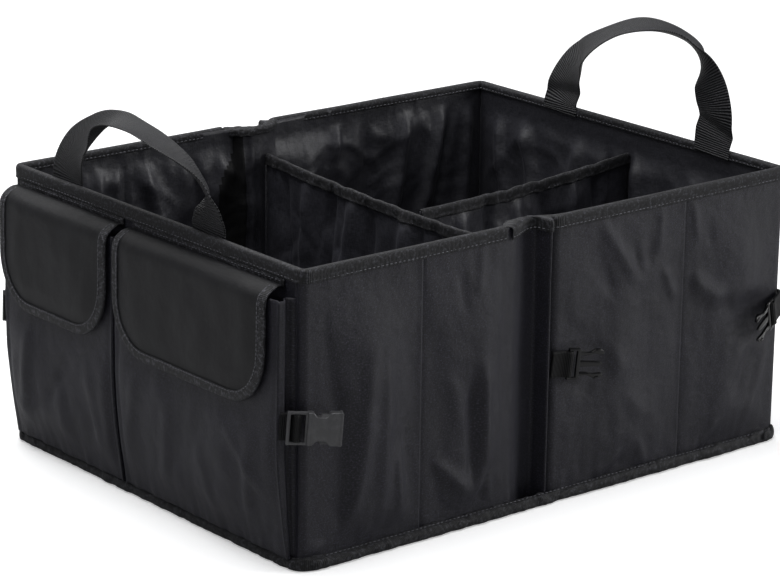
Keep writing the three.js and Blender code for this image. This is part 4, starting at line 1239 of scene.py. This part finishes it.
# a stop of a route is the place across the wall, the height, the lean out of the wall and the twist in
# degrees; a kink is its place, its height, its slope and its depth
handles = [
    {"name": "leftHandle", "node": "left_handle", "side": -1, "seed": 181, "route": [
        (147, 274, 0, 0), (146, 290, 0, 0), (134, 312, 0, -12), (112, 330, 0, -32), (85, 344, 4, -51),
        (55, 357, 7, -88), (8, 356, 7, -104), (-30, 345, 5, -112), (-58, 333, 2, -126), (-76, 319, 0, -144),
        (-81, 305, 0, -164), (-81, 290, 0, -180), (-80, 274, 0, -180),
     ], "kinks": [(-78, 322, 0.1, 1.6)]},
    {"name": "rightHandle", "node": "right_handle", "side": 1, "seed": 191, "route": [
        (93, 274, 0, 0), (92, 290, 0, 0), (77, 320, 0, 14), (46, 353, -3, 50), (-5, 381, 1, 72),
        (-61, 388, 2, 98), (-100, 381, 1, 122), (-113, 368, 1, 144), (-126, 349, -2, 172),
        (-137, 319, -2, 179), (-134, 290, 0, 180), (-133, 274, 0, 180),
     ], "kinks": [(-134, 304, 0.35, 3.6), (92, 296, -0.1, 2.8), (62, 336, 0.9, 2.0)]},
]
handleShape = {"x": 292.5, "wide": 50, "thick": 1.8, "steps": 14, "rows": 14}


def handle(look):
    side = look["side"]
    line = curveThrough(look["route"], handleShape["steps"])
    spots = [Vector((side * (handleShape["x"] + at.z), at.x, at.y)) for at in line]
    reach = [0]
    for first, second in zip(spots, spots[1:]):
        reach.append(reach[-1] + (second - first).length)
    rows, wide = handleShape["rows"], handleShape["wide"]
    wallNormal = Vector((1, 0, 0))

    def lay(column, row):
        tangent = (spots[min(column + 1, len(spots) - 1)] - spots[max(column - 1, 0)]).normalized()
        flat = tangent.cross(wallNormal).normalized()
        angle = math.radians(line[column].w)
        across = flat * math.cos(angle) + wallNormal * side * math.sin(angle)
        across = (across - tangent * across.dot(tangent)).normalized()
        normal = tangent.cross(across)
        share = row / rows * 2 - 1
        free = ease(min(reach[column], reach[-1] - reach[column]), 20, 70)
        cup = 1.4 * (share * share - 0.4) * free
        cup += 0.7 * ripple(reach[column], share * 20, 40, 14, look["seed"]) * free
        place = spots[column] + across * share * wide / 2 + normal * cup
        for y, z, slope, deep in look["kinks"]:
            # a sharp fold across the webbing, pressed towards the wall
            if abs(place.y - y) < 44:
                off = abs(place.z - z - slope * (place.y - y)) / math.hypot(1, slope)
                place.x += side * deep * max(1 - off / 11, 0)
        return place, reach[column], share * wide / 2

    made = clothGrid(len(spots) - 1, rows, lay)
    finishPiece(made, look["name"], webbing, stands=[look["node"]],
                thick=handleShape["thick"], side=0, levels=1)


for look in handles:
    handle(look)
print("handles made")


# Buckles: drawn in X and Z round the bar that holds each, then turned to where they hang

buckles = [
    {"at": "Left", "kind": "female", "x": {"front": -308, "rear": -308}, "y": 232, "z": 139,
     "heading": 28, "droop": 4, "route": [(-5.7, 3.6), (-10, 3.6), (-15, 3.6)]},
    {"at": "Centre", "kind": "male", "x": {"front": 14.5, "rear": 26.5}, "y": 233.4, "z": 135,
     "heading": 14, "droop": 6, "route": [(-5.7, 0), (-9.8, 0.2), (-19.6, -2)]},
    {"at": "Right", "kind": "male", "x": {"front": 279.5, "rear": 279.5}, "y": 240, "z": 138,
     "heading": 160, "droop": 16, "route": [(-5.7, 0), (-21.5, 0), (-23.3, -4.1)]},
]
buckleShape = {"half": 15.5, "slotHalf": 13, "barHalf": 1.6, "maleThick": 3.2, "ladderThick": 3.6,
               "bodyThick": 8.4}
strapShape = {"half": 12.5, "thick": 1.1, "bore": 2.7, "rows": 10, "apart": 0.56}   # apart is in thicknesses


def addPlate(made, outline, thick, holes=()):
    # a plate of one thickness from its outline and its holes, given as (x, z)
    edges = []
    for loop in [outline, *holes]:
        verts = [made.verts.new((x, -thick / 2, z)) for x, z in loop]
        edges += [made.edges.new((verts[k - 1], verts[k])) for k in range(len(verts))]
    filled = bmesh.ops.triangle_fill(made, edges=edges, use_beauty=True, normal=(0, -1, 0))
    faces = [item for item in filled["geom"] if isinstance(item, bmesh.types.BMFace)]
    raised = bmesh.ops.extrude_face_region(made, geom=faces)
    moved = [item for item in raised["geom"] if isinstance(item, bmesh.types.BMVert)]
    bmesh.ops.translate(made, vec=(0, thick, 0), verts=moved)


def roundPlate(outline, thick, radius, holes=(), segments=2):
    # a plate with its edges rounded
    made = bmesh.new()
    addPlate(made, outline, thick, holes)
    bmesh.ops.recalc_face_normals(made, faces=made.faces)
    bmesh.ops.dissolve_limit(made, angle_limit=0.01, verts=made.verts, edges=made.edges)
    sharp = [edge for edge in made.edges if len(edge.link_faces) == 2 and edge.calc_face_angle() > 0.5]
    bmesh.ops.bevel(made, geom=sharp, offset=radius, segments=segments, profile=0.5, affect="EDGES",
                    material=-1, clamp_overlap=True)
    return made


def joinInto(made, other):
    # moves one bmesh's faces into another
    mesh = bpy.data.meshes.new("joined")
    other.to_mesh(mesh)
    other.free()
    made.from_mesh(mesh)
    bpy.data.meshes.remove(mesh)


def addRound(made, outline, thick, radius, holes=(), segments=2):
    joinInto(made, roundPlate(outline, thick, radius, holes, segments))


def hole(x0, x1, half):
    return [(x0, -half), (x1, -half), (x1, half), (x0, half)]


def mirrored(points):
    return points + [(x, -z) for x, z in points[::-1]]


def femaleShape(made):
    look = buckleShape
    half, slot, bar = look["half"], look["slotHalf"], look["barHalf"]
    ladder = mirrored([(-9, half), (12.4, half)])
    slots = [hole(-6.3, -bar, slot), hole(bar, 7.4, slot)]
    addRound(made, ladder, look["ladderThick"], 0.6, slots)
    endBar = mirrored([(-9.3, half + 0.1), (-6.9, half + 0.1)])
    addRound(made, endBar, look["ladderThick"] + 1.4, 0.9, segments=3)
    outline = mirrored([(9.4, half), (13.2, half), (14.6, half - 0.9), (16.6, 11.9), (18.2, 11.2),
                        (25.2, 11.2), (27, 12.1), (29, half - 0.8), (30.6, half), (41, half)])
    shell = roundPlate(outline, look["bodyThick"], 1.1, segments=3)
    mouth = max(shell.faces, key=lambda face: face.calc_center_median().x * (face.normal.x > 0.9))
    bmesh.ops.inset_region(shell, faces=[mouth], thickness=0.7, depth=0)
    bmesh.ops.translate(shell, vec=(-20, 0, 0), verts=mouth.verts)
    joinInto(made, shell)
    # a raised lip round the mouth and a thumb ridge beside the ladder
    lip = mirrored([(38.4, half + 0.25), (40.6, half + 0.25)])
    addRound(made, lip, look["bodyThick"] + 0.7, 0.5)
    ridge = mirrored([(9.2, half - 0.5), (11.6, half - 0.5)])
    addRound(made, ridge, look["bodyThick"] + 0.5, 0.6)


def maleShape(made):
    look = buckleShape
    half, slot, bar, thick = look["half"], look["slotHalf"], look["barHalf"], look["maleThick"]
    barFrame = mirrored([(-bar, half), (9.8, half), (11.4, half - 1.4)])
    addRound(made, barFrame, thick + 0.4, 0.9, [hole(bar, 7.6, slot)], segments=3)
    prong = smoothLine([(8.5, 8.6), (8.5, 12.6), (12, 12.6), (17, 11.2), (22, 11.6), (26.5, 14.2),
                        (30, 14.9), (34, 13.9), (38, 10.4), (35, 8.9), (31, 9.2), (26, 9.6), (20, 8.3),
                        (13, 8), (8.5, 8.6)], 1)
    catch = [(28, 14.8), (33.5, 13.8), (32.6, 12), (28, 12.6)]
    for side in (1, -1):
        addRound(made, [(x, z * side) for x, z in prong[:-1]], thick, 0.7)
        addRound(made, [(x, z * side) for x, z in catch], thick + 1.6, 0.5)
    guide = smoothLine(mirrored([(9, 3.2), (20, 2.7), (31, 2.3), (35, 0.6)]), 1)
    addRound(made, guide, thick - 0.6, 0.6)


def strapShapeFor(look, side):
    # the doubled strap: in from the seam, round the bar and back
    half, thick, rows = strapShape["half"], strapShape["thick"], strapShape["rows"]
    bore = strapShape["bore"] + thick / 2
    route = [Vector((x, -side * off)) for x, off in look["route"]]
    normals = sideways(route)
    near, far = ([point + normal * thick * off for point, normal in zip(route, normals)]
                 for off in (-strapShape["apart"], strapShape["apart"]))
    angles = [2.3 - 4.6 * k / 16 for k in range(17)]
    bend = [Vector((bore * math.cos(angle), bore * math.sin(angle))) for angle in angles]
    if (near[0] - bend[0]).length > (far[0] - bend[0]).length:
        near, far = far, near
    path = evenLine(smoothLine(near[::-1] + bend + far, 1), step=0.9)

    def lay(column, row):
        point, reach = path[column]
        share = row / rows * 2 - 1
        wave = 0.1 * ripple(reach, share * 9, 8, 7, 3)
        return Vector((point.x, point.y + wave, share * half)), reach, share * half

    return clothGrid(len(path) - 1, rows, lay)


def buckle(look, wallName, side):
    female = look["kind"] == "female"
    name, node = f"{wallName}{look['at']}Buckle", f"{wallName}_{look['at'].lower()}_buckle"
    place = Matrix.Translation((look["x"][wallName], side * look["y"], look["z"]))
    place @= Matrix.Rotation(math.radians(side * look["heading"]), 4, "Z")
    place @= Matrix.Rotation(math.radians(look["droop"]), 4, "Y")
    made = bmesh.new()
    (femaleShape if female else maleShape)(made)
    bmesh.ops.transform(made, matrix=place, verts=made.verts)
    plastic, slot = (greyPlastic, "buckle_grey") if female else (blackPlastic, "buckle_black")
    finishPiece(made, name, plastic, "organizer" if female else node, [f"{node}_{look['kind']}"])
    strap = strapShapeFor(look, side)
    bmesh.ops.transform(strap, matrix=place, verts=strap.verts)
    bmesh.ops.recalc_face_normals(strap, faces=strap.faces)
    # the strap's webbing is darkened as painted shade of its buckle
    finishPiece(strap, name + "Strap", strapShadeWebbing, stands=[node + "_strap"],
                thick=1.0, side=0)


for wallName, side in (("front", -1), ("rear", 1)):
    for look in buckles:
        buckle(look, wallName, side)
print("buckles made")


# Carried-over pieces of the frame and their finishes

def dress(node, look):
    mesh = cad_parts[node].data
    mesh.materials.clear()
    mesh.materials.append(look)


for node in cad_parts:
    if "floor_board" in node or node == "bottom_cloth":
        dress(node, floorBoardFace)
    elif "board" in node:
        dress(node, cardboard)
    elif node.endswith("_strip"):
        dress(node, gripTape)


# Stage, lights and camera

def addFloor():
    made = bmesh.new()
    bmesh.ops.create_grid(made, x_segments=1, y_segments=1, size=14)
    mesh = bpy.data.meshes.new("studioFloor")
    made.to_mesh(mesh)
    made.free()
    floor = bpy.data.objects.new("studioFloor", mesh)
    scene.collection.objects.link(floor)
    board = newMaterial("paleFloor")
    seen = board.add("ShaderNodeLightPath").outputs["Is Camera Ray"]
    given, shown = (0.5, 0.5, 0.5, 1), (0.97, 0.97, 0.97, 1)   # back to the object, and to the camera
    mesh.materials.append(board.shade({
        "Base Color": board.mixColour(seen, given, shown), "Roughness": 0.9, "Specular IOR Level": 0.0,
        "Emission Color": (1, 1, 1, 1), "Emission Strength": board.maths("MULTIPLY", seen, 0.3),
    }))
    floor.location = (0, 0, -0.0005)


def addWorld():
    scene.world = bpy.data.worlds.new("studioAir")
    board = NodeBoard(scene.world)
    board.tree.nodes.clear()
    light = board.add("ShaderNodeBackground", {"Color": (0.93, 0.95, 1, 1), "Strength": 0.22})
    shown = board.add("ShaderNodeBackground", {"Color": (1, 1, 1, 1), "Strength": 1.0})
    seen = board.add("ShaderNodeLightPath").outputs["Is Camera Ray"]
    mix = board.add("ShaderNodeMixShader", {0: seen, 1: light.outputs[0], 2: shown.outputs[0]})
    board.add("ShaderNodeOutputWorld", {"Surface": mix.outputs[0]})


lights = [   # place, what it points at, size and power
    ("topSoftbox", (-0.3, 0.1, 2.2), (0, 0, 0.2), (1.8, 1.6), 50),
    ("rightKey", (2.6, -1.9, 1.3), (0.1, -0.1, 0.15), (1.3, 1.5), 52),
    ("leftFill", (-2.6, 0.5, 1.5), (-0.2, 0, 0.2), (1.2, 1.2), 6),
    ("rearRim", (0.6, 2.2, 1.9), (0, 0, 0.25), (2.2, 1.2), 20),
]


def addLight(name, place, target, size, power):
    data = bpy.data.lights.new(name, "AREA")
    data.shape = "RECTANGLE"
    data.size, data.size_y = size
    data.energy = power
    lamp = bpy.data.objects.new(name, data)
    scene.collection.objects.link(lamp)
    lamp.location = place
    lamp.rotation_euler = (Vector(target) - Vector(place)).to_track_quat("-Z", "Y").to_euler()


def addCamera():
    # angles in degrees, fitted to the rim's and the base's corners in the photograph
    look = {"place": (-1.981, -2.392, 1.098), "yaw": 39.45, "pitch": 16.97, "roll": 0.76, "lens": 151.4}
    yaw, pitch, roll = (math.radians(look[key]) for key in ("yaw", "pitch", "roll"))
    ahead = Vector((math.sin(yaw) * math.cos(pitch), math.cos(yaw) * math.cos(pitch), -math.sin(pitch)))
    right = Vector((math.cos(yaw), -math.sin(yaw), 0))
    up = right.cross(ahead)
    rolledRight = math.cos(roll) * right + math.sin(roll) * up
    rolledUp = -math.sin(roll) * right + math.cos(roll) * up
    camera = bpy.data.objects.new("photoCamera", bpy.data.cameras.new("photoCamera"))
    camera.data.lens = look["lens"]
    scene.collection.objects.link(camera)
    placed = Matrix((rolledRight, rolledUp, -ahead)).transposed().to_4x4()
    placed.translation = look["place"]
    camera.matrix_world = placed
    scene.camera = camera


addFloor()
addWorld()
for light in lights:
    addLight(*light)
addCamera()
scene.view_settings.view_transform = "Standard"
print("stage lit")
